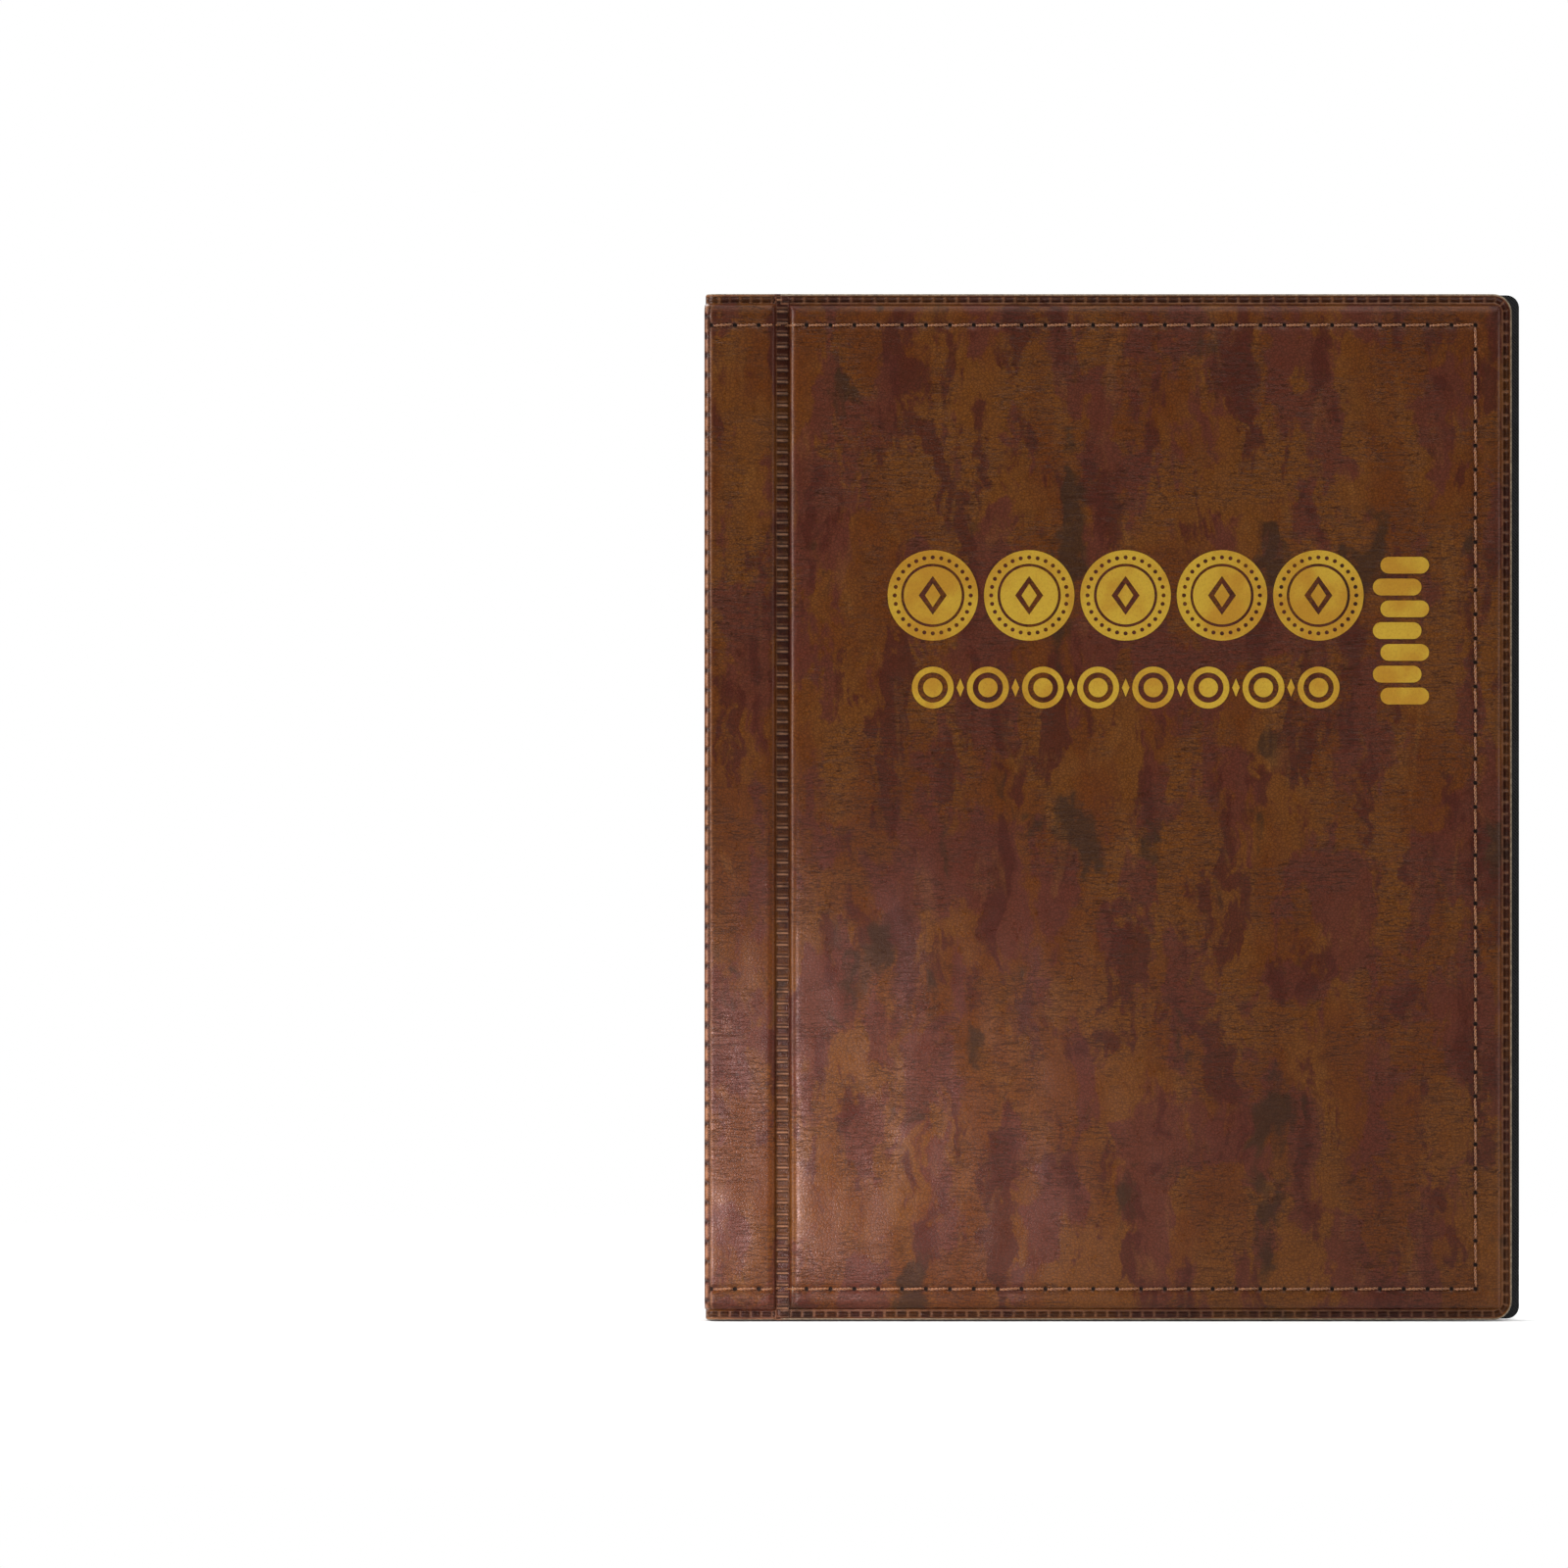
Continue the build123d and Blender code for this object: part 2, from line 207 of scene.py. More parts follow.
COVER = {FRONT: "front_cover", BACK: "back_cover"}
BLOCK = "binding_block"
rng = np.random.default_rng(20)


# ---------------- mesh helpers


def place(points):
    """Album millimetres to the frame's metres."""
    moved = np.array(points, float).reshape(-1, 3)
    moved[:, 0] += SPINE_X
    return moved * MM


def smoothstep(low, high, value):
    """0 at low to 1 at high, with a soft start and end."""
    t = np.clip((value - low) / (high - low), 0, 1)
    return t * t * (3 - 2 * t)


def hump(value, centre, width):
    """1 at the centre, falling away on both sides over about the width."""
    return np.exp(-(((value - centre) / width) ** 2))


def lengths_along(points):
    """The distance of each point of a path from its first one, measured along the path."""
    steps = np.linalg.norm(np.diff(points, axis=0), axis=1)
    return np.concatenate([[0], np.cumsum(steps)])


def band(value, low, high, soft):
    """1 from low to high, falling to 0 over the soft distance outside them."""
    return smoothstep(low - soft, low, value) * (1 - smoothstep(high, high + soft, value))


def points_of(*coordinates):
    """Points from their coordinates, each an array or one number for all of them."""
    return np.stack(np.broadcast_arrays(*coordinates), -1)


def grid_faces(rows, columns, around=False):
    """Quads of a grid of points; around joins the last column to the first."""
    index = np.arange(rows * columns).reshape(rows, columns)
    if around:
        index = np.hstack([index, index[:, :1]])
    corners = (index[:-1, :-1], index[1:, :-1], index[1:, 1:], index[:-1, 1:])
    return np.stack(corners, -1).reshape(-1, 4)


def tube_faces(rows, columns):
    """Faces of a closed tube of rings, with a face over each end."""
    faces = grid_faces(rows, columns, around=True).tolist()
    first = list(range(columns))
    last = [(rows - 1) * columns + i for i in reversed(range(columns))]
    return faces + [first, last]


def rim_of(rows, columns):
    """Indices round the outside of a grid of points."""
    index = np.arange(rows * columns).reshape(rows, columns)
    return np.concatenate([index[0, :], index[1:, -1], index[-1, -2::-1], index[-2:0:-1, 0]])


def new_object(name, data):
    """A scene object that shows a mesh, a light or a camera."""
    obj = bpy.data.objects.new(name, data)
    bpy.context.scene.collection.objects.link(obj)
    return obj


def make_object(name, points, faces, materials, slots=None, attributes=None, flip=False):
    """A smooth mesh object from album millimetres. slots gives each face's material slot."""
    faces = [list(f) for f in faces]
    if flip:
        faces = [f[::-1] for f in faces]
    mesh = bpy.data.meshes.new(name)
    mesh.from_pydata(place(points).tolist(), [], faces)
    for material in materials:
        mesh.materials.append(material)
    if slots is not None:
        mesh.polygons.foreach_set("material_index", np.asarray(slots, np.int32))
    mesh.polygons.foreach_set("use_smooth", np.ones(len(faces), bool))
    rest = mesh.attributes.new("rest_mm", "FLOAT_VECTOR", "POINT")
    rest.data.foreach_set("vector", np.asarray(points, np.float32).ravel())
    for key, values in (attributes or {}).items():
        layer = mesh.attributes.new(key, "FLOAT", "POINT")
        layer.data.foreach_set("value", np.asarray(values, np.float32).ravel())
    mesh.update()
    return new_object(name, mesh)


def joined(parts):
    """Several (points, faces, slots) put together as one."""
    points, faces, slots = [], [], []
    offset = 0
    for part_points, part_faces, part_slots in parts:
        points.append(part_points)
        faces += [[v + offset for v in face] for face in part_faces]
        slots += part_slots
        offset += len(part_points)
    return np.vstack(points), faces, slots


def settle(obj, body, slot, replaced=None):
    """Puts a finished piece on its body, with its slot and the CAD node that it stands for."""
    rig.ride(obj, body)
    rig.slot(obj, slot)
    if replaced:
        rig.replaces(obj, replaced)


def merge_lines(values, gap):
    """Sorted values, leaving out any that lies closer than gap to the one before."""
    kept = []
    for value in sorted(values):
        if not kept or value - kept[-1] > gap:
            kept.append(value)
    return np.array(kept)


# ---------------- node helpers


def linear(red, green, blue):
    """A colour given in sRGB's 0 to 255, as linear values."""
    channels = [c / 255 for c in (red, green, blue)]
    return tuple(c / 12.92 if c < 0.04045 else ((c + 0.055) / 1.055) ** 2.4 for c in channels) + (1.0,)


class Shader:
    """Short calls for building one material's nodes."""

    def __init__(self, name):
        self.material = bpy.data.materials.new(name)
        self.material.use_nodes = True
        self.tree = self.material.node_tree
        self.tree.nodes.clear()
        self.output = self.tree.nodes.new("ShaderNodeOutputMaterial")

    def node(self, kind, inputs=None, **settings):
        made = self.tree.nodes.new("ShaderNode" + kind)
        for key, value in settings.items():
            setattr(made, key, value)
        for key, value in (inputs or {}).items():
            self.put(made.inputs[key], value)
        return made

    def put(self, socket, value):
        if isinstance(value, bpy.types.NodeSocket):
            self.tree.links.new(value, socket)
        else:
            socket.default_value = value

    def rest_mm(self):
        """A point's place on the closed album, which stays with it when its body moves."""
        return self.node("Attribute", attribute_name="rest_mm").outputs["Vector"]

    def painted(self, name):
        """A value that the mesh carries at each point."""
        return self.node("Attribute", attribute_name=name).outputs["Fac"]

    def object_mm(self):
        coordinates = self.node("TexCoord").outputs["Object"]
        return self.scaled(coordinates, (1 / MM, 1 / MM, 1 / MM))

    def scaled(self, vector, scale):
        return self.node("Mapping", {"Vector": vector, "Scale": scale}).outputs["Vector"]

    def noise(self, vector, scale, detail=3.0, roughness=0.55, distortion=0.0):
        inputs = {"Vector": vector, "Scale": scale, "Detail": detail,
                  "Roughness": roughness, "Distortion": distortion}
        return self.node("TexNoise", inputs).outputs["Fac"]

    def cells(self, vector, scale):
        """The distance to the nearest cell's edge."""
        inputs = {"Vector": vector, "Scale": scale}
        return self.node("TexVoronoi", inputs, feature="DISTANCE_TO_EDGE").outputs["Distance"]

    def math(self, operation, first, second=0.0):
        made = self.node("Math", operation=operation)
        self.put(made.inputs[0], first)
        self.put(made.inputs[1], second)
        return made.outputs[0]

    def between(self, value, low, high, to_low=0.0, to_high=1.0):
        inputs = {"Value": value, "From Min": low, "From Max": high, "To Min": to_low, "To Max": to_high}
        return self.node("MapRange", inputs, interpolation_type="SMOOTHSTEP").outputs["Result"]

    def mix(self, factor, first, second):
        """Two colours mixed; factor is the second one's share."""
        made = self.node("Mix", data_type="RGBA")
        self.put(made.inputs[0], factor)
        self.put(made.inputs[6], first)
        self.put(made.inputs[7], second)
        return made.outputs[2]

    def over(self, mask, share, colour, new):
        """A colour with a new one laid over it; share is how much covers it where mask is 1."""
        return self.mix(self.math("MULTIPLY", mask, share), colour, new)

    def bump(self, height, distance_mm, strength=1.0, normal=None):
        inputs = {"Height": height, "Distance": distance_mm * MM, "Strength": strength}
        if normal is not None:
            inputs["Normal"] = normal
        return self.node("Bump", inputs).outputs["Normal"]

    def mix_shader(self, factor, first, second):
        """Two shader nodes mixed; factor is the second one's share."""
        made = self.node("MixShader")
        self.put(made.inputs[0], factor)
        self.tree.links.new(first.outputs[0], made.inputs[1])
        self.tree.links.new(second.outputs[0], made.inputs[2])
        return made

    def finish(self, shader):
        self.tree.links.new(shader.outputs[0], self.output.inputs[0])

    def principled(self, **inputs):
        named = {key.replace("_", " "): value for key, value in inputs.items()}
        self.finish(self.node("BsdfPrincipled", named))


# ---------------- materials


def stirred(s, at):
    """Places drawn out upright and stirred, so that the patches on them have wandering edges."""
    wander = s.node("TexNoise", {"Vector": at, "Scale": 0.09, "Detail": 3.0}).outputs["Color"]
    spread = s.node("VectorMath", {"Scale": 9.0}, operation="SCALE")
    s.put(spread.inputs[0], wander)
    warped = s.node("VectorMath", operation="ADD")
    s.put(warped.inputs[0], s.scaled(at, (1.0, 1.0, 0.42)))
    s.put(warped.inputs[1], spread.outputs[0])
    return warped.outputs[0]


def mottled_brown(s, at):
    """The leather's colour: upright patches of red brown, near black and paler brown."""
    flow = stirred(s, at)
    tone = s.noise(flow, 0.05, 4.0, 0.6)
    colour = s.mix(s.between(tone, 0.42, 0.58), linear(96, 55, 20), linear(88, 45, 15))
    red = s.between(s.noise(flow, 0.075, 5.0, 0.6), 0.5, 0.56)
    colour = s.over(red, 0.8, colour, linear(79, 37, 30))
    deep = s.between(s.noise(s.scaled(flow, (1.3, 1.3, 1.0)), 0.085, 5.0, 0.62), 0.54, 0.61)
    colour = s.over(deep, 0.85, colour, linear(66, 28, 21))
    dark = s.between(s.noise(s.scaled(flow, (0.8, 0.8, 0.9)), 0.075, 4.0, 0.6), 0.6, 0.67)
    colour = s.over(dark, 0.85, colour, linear(51, 34, 21))
    pale = s.between(s.noise(s.scaled(at, (0.16, 0.16, 0.05)), 1.0, 4.0, 0.6, 0.5), 0.56, 0.74)
    return s.over(pale, 0.4, colour, linear(114, 73, 32))


def leather_material():
    """Mottled brown leatherette with wrinkles, grain and pores; painted shade in the creases, needle holes and
    recessed weld cells, and a painted highlight with some wear on the weld rungs and edges.
    """
    s = Shader("leather")
    at = s.rest_mm()
    colour = mottled_brown(s, at)
    wrinkle = s.noise(s.scaled(at, (0.17, 0.17, 1.1)), 1.0, 3.0, 0.6, 0.9)
    crease = s.between(s.math("ABSOLUTE", s.math("SUBTRACT", wrinkle, 0.5)), 0.0, 0.045, 1.0, 0.0)
    crease = s.math("MULTIPLY", crease, s.between(s.noise(at, 0.05, 2.0), 0.38, 0.54))
    # painted shade in the creases of the wrinkles
    colour = s.over(crease, 0.8, colour, linear(40, 19, 8))
    grain = s.between(s.cells(s.scaled(at, (1.0, 1.0, 1.25)), 1.15), 0.0, 0.2)
    colour = s.mix(s.between(grain, 0.0, 1.0, 0.4, 0.0), colour, linear(38, 18, 9))
    pores = s.noise(at, 2.4, 3.0, 0.65)
    colour = s.mix(s.between(pores, 0.3, 0.6, 0.3, 0.0), colour, linear(42, 22, 11))

    weld_shade, wear_and_highlight, hole = (s.painted(name) for name in ("weld_shade", "wear_and_highlight", "hole"))
    # painted shade in the recessed weld cells, beside the rungs and over the hinge groove
    colour = s.over(weld_shade, 0.88, colour, linear(27, 11, 7))
    # painted highlight, with some wear, on the lit weld rungs, lips and edges, broken into patches
    patchy_wear_and_highlight = s.math("MULTIPLY", wear_and_highlight, s.between(s.noise(at, 0.45, 3.0, 0.6), 0.35, 0.6, 0.35, 0.8))
    colour = s.mix(patchy_wear_and_highlight, colour, linear(176, 124, 90))
    # painted shade in the needle holes
    colour = s.mix(s.between(hole, 0.2, 0.6), colour, linear(12, 5, 3))

    relief = s.math("ADD", s.math("MULTIPLY", grain, 0.55), s.math("MULTIPLY", pores, 0.5))
    relief = s.math("SUBTRACT", relief, s.math("MULTIPLY", crease, 1.1))
    normal = s.bump(relief, 0.019)
    normal = s.bump(s.noise(s.scaled(at, (0.035, 0.035, 0.02)), 1.0, 2.0), 2.2, 0.8, normal)
    rough = s.between(s.noise(at, 0.35, 3.0), 0.3, 0.7, 0.27, 0.38)
    rough = s.math("ADD", rough, s.math("MULTIPLY", hole, 0.3))
    s.principled(Base_Color=colour, Roughness=rough, Normal=normal,
                 Specular_IOR_Level=0.2, Specular_Tint=(1.0, 0.77, 0.7, 1))
    return s.material


def cut_edge_material():
    """The leatherette's raw edge: a thin pale core with a frayed, fibrous face."""
    s = Shader("leather_cut_edge")
    at = s.rest_mm()
    fibre = s.noise(at, 1.6, 4.0, 0.7)
    colour = s.mix(s.between(fibre, 0.35, 0.65), linear(86, 72, 55), linear(132, 116, 92))
    s.principled(Base_Color=colour, Roughness=0.72, Normal=s.bump(fibre, 0.05))
    return s.material


def lining_material(name, carries_rest):
    """Black lining, embossed with a fine cloth-like weave and faintly dusty."""
    s = Shader(name)
    at = s.rest_mm() if carries_rest else s.object_mm()
    split = s.node("SeparateXYZ", {"Vector": at})
    across = s.math("SINE", s.math("MULTIPLY", s.math("ADD", split.outputs[0], split.outputs[1]), 8.2))
    along = s.math("SINE", s.math("MULTIPLY", split.outputs[2], 8.2))
    weave = s.math("MULTIPLY", across, along)
    dust = s.noise(at, 0.12, 5.0, 0.65)
    colour = s.mix(s.between(dust, 0.35, 0.75), linear(13, 13, 14), linear(27, 27, 29))
    colour = s.mix(s.between(weave, 0.2, 1.0, 0.0, 0.25), colour, linear(44, 44, 47))
    relief = s.math("ADD", weave, s.noise(at, 3.0, 2.0))
    rough = s.between(dust, 0.3, 0.7, 0.55, 0.7)
    s.principled(Base_Color=colour, Roughness=rough, Normal=s.bump(relief, 0.04), Specular_IOR_Level=0.25)
    return s.material


def thread_material(name, light, dark):
    """Twisted thread: fine fibres and an uneven shade between two sRGB colours."""
    s = Shader(name)
    at = s.rest_mm()
    shade = s.noise(at, 3.2, 3.0, 0.6)
    fibres = s.noise(at, 9.0, 2.0)
    colour = s.mix(s.between(shade, 0.35, 0.65), linear(*light), linear(*dark))
    s.principled(Base_Color=colour, Roughness=0.42, Normal=s.bump(fibres, 0.03),
                 Sheen_Weight=0.1, Sheen_Roughness=0.5)
    return s.material


def foil_material():
    """Hot-stamped gold foil, with a slow change of shade and a fine imprint of the grain."""
    s = Shader("gold_foil_finish")
    at = s.object_mm()
    slow = s.noise(at, 0.06, 3.0, 0.6)
    colour = s.mix(s.between(slow, 0.4, 0.62), linear(222, 182, 62), linear(204, 150, 48))
    fine = s.noise(at, 1.4, 4.0, 0.7)
    colour = s.mix(s.between(fine, 0.42, 0.7, 0.0, 0.35), colour, linear(176, 110, 40))
    rough = s.between(fine, 0.3, 0.7, 0.34, 0.5)
    s.principled(Base_Color=colour, Metallic=0.72, Roughness=rough, Normal=s.bump(fine, 0.02, 0.6))
    return s.material


def film_material(name, haze, shade):
    """Clear soft vinyl: see-through, with a milky haze and a skin that reflects at a slant."""
    s = Shader(name)
    cloud = s.noise(s.rest_mm(), 0.06, 2.0)
    clear = s.node("BsdfTransparent", {"Color": (0.98, 0.985, 0.985, 1)})
    body = s.node("BsdfDiffuse", {"Color": shade})
    skin = s.node("BsdfGlossy", {"Color": (1, 1, 1, 1), "Roughness": 0.16})
    fresnel = s.node("Fresnel", {"IOR": 1.4}).outputs[0]
    hazy = s.mix_shader(s.between(cloud, 0.3, 0.7, haze * 0.7, haze * 1.3), clear, body)
    glazed = s.mix_shader(s.math("MULTIPLY", fresnel, 0.5), hazy, skin)
    shadow = s.node("BsdfTransparent", {"Color": (1 - haze, 1 - haze, 1 - haze, 1)})
    shadow_ray = s.node("LightPath").outputs["Is Shadow Ray"]
    s.finish(s.mix_shader(shadow_ray, glazed, shadow))
    return s.material


def plain_material(name, light, dark, scale, roughness, metallic=0.0, relief=0.05):
    """A solid material with a mottled shade, a fine relief and uneven gloss."""
    s = Shader(name)
    at = s.object_mm()
    mottle = s.noise(at, scale, 5.0, 0.65)
    colour = s.mix(s.between(mottle, 0.35, 0.65), linear(*light), linear(*dark))
    rough = s.between(mottle, 0.3, 0.7, roughness - 0.06, roughness + 0.08)
    s.principled(Base_Color=colour, Roughness=rough, Metallic=metallic, Normal=s.bump(mottle, relief))
    return s.material


leather = leather_material()
cut_edge = cut_edge_material()
lining = lining_material("black_lining", True)
cad_lining = lining_material("black_lining_sheet", False)
thread = thread_material("tan_thread", (142, 88, 44), (80, 43, 20))
dark_thread = thread_material("black_thread", (52, 52, 56), (26, 26, 28))
gold = foil_material()
film = film_material("clear_film_finish", 0.03, (0.72, 0.74, 0.75, 1))
weld_film = film_material("welded_film_finish", 0.4, (0.85, 0.86, 0.87, 1))
flap_film = film_material("flap_film_finish", 0.06, (0.8, 0.82, 0.83, 1))
edge_film = film_material("film_edge_finish", 0.6, (0.86, 0.88, 0.9, 1))
foam = plain_material("foam_sheet", (226, 222, 206), (196, 190, 172), 0.9, 0.85)
greyboard = plain_material("greyboard_sheet", (150, 142, 128), (112, 104, 92), 0.8, 0.85)
black_plastic = plain_material("black_plastic_strip", (30, 30, 32), (20, 20, 22), 0.5, 0.45)
brass = plain_material("turned_brass", (206, 168, 92), (176, 136, 66), 0.4, 0.3, 1.0, 0.01)


# ---------------- leather shapes


def roll(distance, width):
    """0 at a padded edge's foot to 1 on its flat top, rounded between."""
    t = np.clip(distance / width, 0, 1)
    return (1 - (1 - t) ** 2.6) ** (1 / 2.6)


# needle holes: an upright row's in z, and a level row's in x, from the strip to the right
upright_count = round((STITCH_HIGH - STITCH_LOW) / STITCH_PITCH)
upright_holes = np.linspace(STITCH_LOW, STITCH_HIGH, upright_count + 1)
all_holes = np.arange(STITCH_RIGHT, 1.0, -STITCH_PITCH)[::-1]
across_holes = all_holes[all_holes > PANEL_START + 1]
strip_holes = all_holes[all_holes < STRIP_END - 1]
groove_hole = all_holes[len(strip_holes)]


def pulled(along, holes):
    """How far the thread pulls the leather in: 1 at a hole, less between holes."""
    phase = (along - holes[0]) / (holes[1] - holes[0])
    return 0.45 + 0.55 * np.cos(math.pi * phase) ** 2


def valley(distance, pull):
    """The dip along a row of stitches, as a depth."""
    return 0.3 * pull * hump(distance, 0, 0.75) + 0.1 * hump(distance, 0, 2.6)


def pillow(inset):
    """The slow fall of a padded face toward its edges."""
    return 0.3 * np.exp(-inset / 6.0)


def level_holes(across):
    """The needle holes of the bottom and the top row, as (x, z) points."""
    return [(x, z) for z in LEVEL_ROWS for x in across]


def needle_dips(x, z, holes):
    """1 at a needle hole's middle, falling off round it."""
    dips = np.zeros(x.shape)
    for hx, hz in holes:
        near = (np.abs(x - hx) < 1.2) & (np.abs(z - hz) < 1.2)
        away = np.hypot(x[near] - hx, z[near] - hz)
        dips[near] = np.maximum(dips[near], hump(away, 0, 0.55))
    return dips


def panel_outward(x, z, x0, x1, z0, z1):
    """The padded panel's height, from its foot in the welded border to its flat top."""
    inset = np.minimum(np.minimum(x - x0, x1 - x), np.minimum(z - z0, z1 - z))
    foot = BORDER_LEVEL - 0.25
    level = foot + (LEATHER_TOP - foot) * roll(inset, ROLL) - pillow(inset)
    upright = valley(x - STITCH_RIGHT, pulled(z, upright_holes))
    inside = (z > STITCH_LOW - 0.6) & (z < STITCH_HIGH + 0.6)
    dip = np.where(inside, upright, 0)
    for row in LEVEL_ROWS:
        flat = valley(z - row, pulled(x, across_holes))
        dip = np.maximum(dip, np.where(x < STITCH_RIGHT + 0.6, flat, 0))
    return level - dip


def round_corner(x, z, x1, z1, radius, sign):
    """Moves the points of a square corner onto a round one; sign is +1 at the top and -1 below."""
    u = np.clip((x - x1 + radius) / radius, 0, 1)
    v = np.clip((sign * (z - z1) + radius) / radius, 0, 1)
    new_x = x1 - radius + radius * u * np.sqrt(1 - v * v / 2)
    new_z = z1 + sign * (radius * v * np.sqrt(1 - u * u / 2) - radius)
    inside = (u > 0) & (v > 0)
    return np.where(inside, new_x, x), np.where(inside, new_z, z)


def stitched_lines(low, high, holes, extra):
    """Grid lines that are close at the rounded edges and round each needle hole."""
    edge = ROLL * np.linspace(0, 1, 10) ** 2
    steps = np.concatenate([np.linspace(-0.7, 0.7, 5), STITCH_PITCH * np.linspace(0.22, 0.78, 5)])
    near_holes = (np.array(holes)[:, None] + steps).ravel()
    needed = np.concatenate([holes, extra])
    lines = np.concatenate([low + edge, high - edge, near_holes])
    lines = [v for v in lines if low <= v <= high and np.abs(needed - v).min() > 0.15]
    return merge_lines(lines + list(needed), 0.12)


def padded_panel(side):
    """A cover's padded leather panel, closed behind by a flat face."""
    x0, x1 = PANEL_START, WIDTHS[side] - SIDE_BORDER
    z0, z1 = PANEL_BOTTOM, HEIGHT - PANEL_BOTTOM
    near = np.linspace(-2.0, 2.0, 11)
    xs = stitched_lines(x0, x1, across_holes, STITCH_RIGHT + near)
    zs = stitched_lines(z0, z1, upright_holes, np.append(STITCH_LOW + near, STITCH_HIGH + near))
    x, z = np.meshgrid(xs, zs)
    outward = panel_outward(x, z, x0, x1, z0, z1)
    hole = needle_dips(x, z, [(STITCH_RIGHT, v) for v in upright_holes] + level_holes(across_holes))
    outward = np.where(outward > PADDING_TOP, np.maximum(outward - 0.3 * hole, PADDING_TOP), outward)
    x, z = round_corner(x, z, x1, z1, PANEL_CORNER, 1)
    x, z = round_corner(x, z, x1, z0, PANEL_CORNER, -1)
    points = points_of(x, side * outward, z)
    faces = grid_faces(*x.shape).tolist() + [rim_of(*x.shape).tolist()]
    obj = make_object(f"{COVER[side]}_leather_panel", points, faces, [leather],
                      attributes={"hole": hole}, flip=side == FRONT)
    settle(obj, COVER[side], "leatherette", f"{COVER[side]}_skin")


def rung(along, pitch, low, high):
    """1 on a ladder weld's rungs and 0 between them; low and high are distances from a rung."""
    part = (along / pitch) % 1
    distance = np.minimum(part, 1 - part) * pitch
    return 1 - smoothstep(low, high, distance)


def border_path(side):
    """Points, outward normals and lengths along a cover's outline, from hinge to hinge."""
    width, radius = WIDTHS[side], CORNERS[side]
    start = skin_low[0]
    step = LADDER_PITCH / 9
    points, normals = [], []

    def straight(a, b, normal):
        count = max(2, int(abs(b[0] - a[0] + b[1] - a[1]) / step))
        for t in np.linspace(0, 1, count, endpoint=False):
            points.append((a[0] + t * (b[0] - a[0]), a[1] + t * (b[1] - a[1])))
            normals.append(normal)

    def arc(centre, first, last):
        for t in np.linspace(first, last, 28, endpoint=False):
            normal = (math.cos(math.radians(t)), math.sin(math.radians(t)))
            points.append((centre[0] + radius * normal[0], centre[1] + radius * normal[1]))
            normals.append(normal)

    straight((start, HEIGHT), (width - radius, HEIGHT), (0, 1))
    arc((width - radius, HEIGHT - radius), 90, 0)
    straight((width, HEIGHT - radius), (width, radius), (1, 0))
    arc((width - radius, radius), 0, -90)
    straight((width - radius, 0), (start, 0), (0, -1))
    points.append((start, 0))
    normals.append((0, -1))
    points = np.array(points)
    return points, np.array(normals), lengths_along(points)


def border_ladder(inset, along):
    """A welded border's ladder: where it is, its rungs, the painted shade in its recessed cells and a painted
    highlight with some wear on its rungs.
    """
    in_ladder = smoothstep(0.6, 0.8, inset) * (1 - smoothstep(2.05, 2.2, inset))
    rungs = rung(along, LADDER_PITCH, 0.12, 0.42)
    # painted shade, darkest in the recessed cells between the rungs
    weld_shade = in_ladder * (0.3 + 0.35 * (1 - rungs))
    # the last value returned is a painted highlight, with some wear, on the rungs
    return in_ladder, rungs, weld_shade, 0.3 * in_ladder * rungs


# distances in from a cover's outline
LIP_INSET = 0.36
LADDER_START, LADDER_END = 0.7, 2.1
INNER_LINE_INSET = 2.3
BORDER_END = 2.6  # under the padded panel's edge

CELL_HEIGHT = 0.28
WELD_DEPTH = 0.27
CUT_COLUMNS = 6  # grid lines on the cut face and just over its edge


def border_section():
    """Insets, outward levels and cell heights, from the cut edge to under the padded panel."""
    floor = LINING_OUTER + 0.01
    up = np.linspace(0, 1, 4)
    cut_inset = 0.08 * np.cos(math.pi * up) ** 2
    cut_level = floor + (BORDER_LEVEL - 0.15 - floor) * up
    inset = np.linspace(0.1, BORDER_END, 19)
    rounded = 0.2 * np.exp(-inset / 0.1)
    groove = WELD_DEPTH * smoothstep(LADDER_START - 0.2, LADDER_START + 0.05, inset)
    groove -= 0.09 * smoothstep(LADDER_END - 0.1, LADDER_END + 0.05, inset)
    middle = (inset - LADDER_START - 0.2) / (LADDER_END - LADDER_START - 0.4)
    cell = CELL_HEIGHT * np.sin(math.pi * np.clip(middle, 0, 1))
    insets = np.concatenate([cut_inset, inset, [BORDER_END + 0.25]])
    levels = np.concatenate([cut_level, BORDER_LEVEL - rounded - groove, [floor]])
    return insets, levels, np.concatenate([np.zeros(4), cell, [0]])


def welded_border(side):
    """The flat border round the panel: cut edge, raised lip, and a ladder of recessed cells, with painted shade in the
    cells and a painted highlight, with some wear, on the rungs, the lip and the inner line.
    """
    points, normals, along = border_path(side)
    inset, base, cell = border_section()
    _, rungs, weld_shade, wear_and_highlight = border_ladder(inset, along[:, None])
    outward = base + cell * (1 - rungs)
    # painted highlight along the raised lip and the inner line
    lines = 0.3 * hump(inset, LIP_INSET, 0.16) + 0.35 * hump(inset, INNER_LINE_INSET, 0.2)
    wear_and_highlight = np.maximum(wear_and_highlight, lines)
    flat = points[:, None, :] - normals[:, None, :] * inset[None, :, None]
    grid = points_of(flat[..., 0], side * outward, flat[..., 1])
    rows, columns = grid.shape[:2]
    slots = np.append(np.tile(np.arange(columns) < CUT_COLUMNS, rows - 1), [0, 0])
    obj = make_object(f"{COVER[side]}_leather_border", grid, tube_faces(rows, columns), [leather, cut_edge],
                      slots, {"weld_shade": weld_shade, "wear_and_highlight": wear_and_highlight}, flip=side == FRONT)
    settle(obj, COVER[side], "leatherette")


WEB_START, WEB_END = STRIP_END + 0.1, STRIP_END + 3.15
WEB_STEPS = 16  # grid lines to each rung
WEAK_RUNG = LADDER_PITCH * 5 / WEB_STEPS  # how far above each rung a fainter one lies


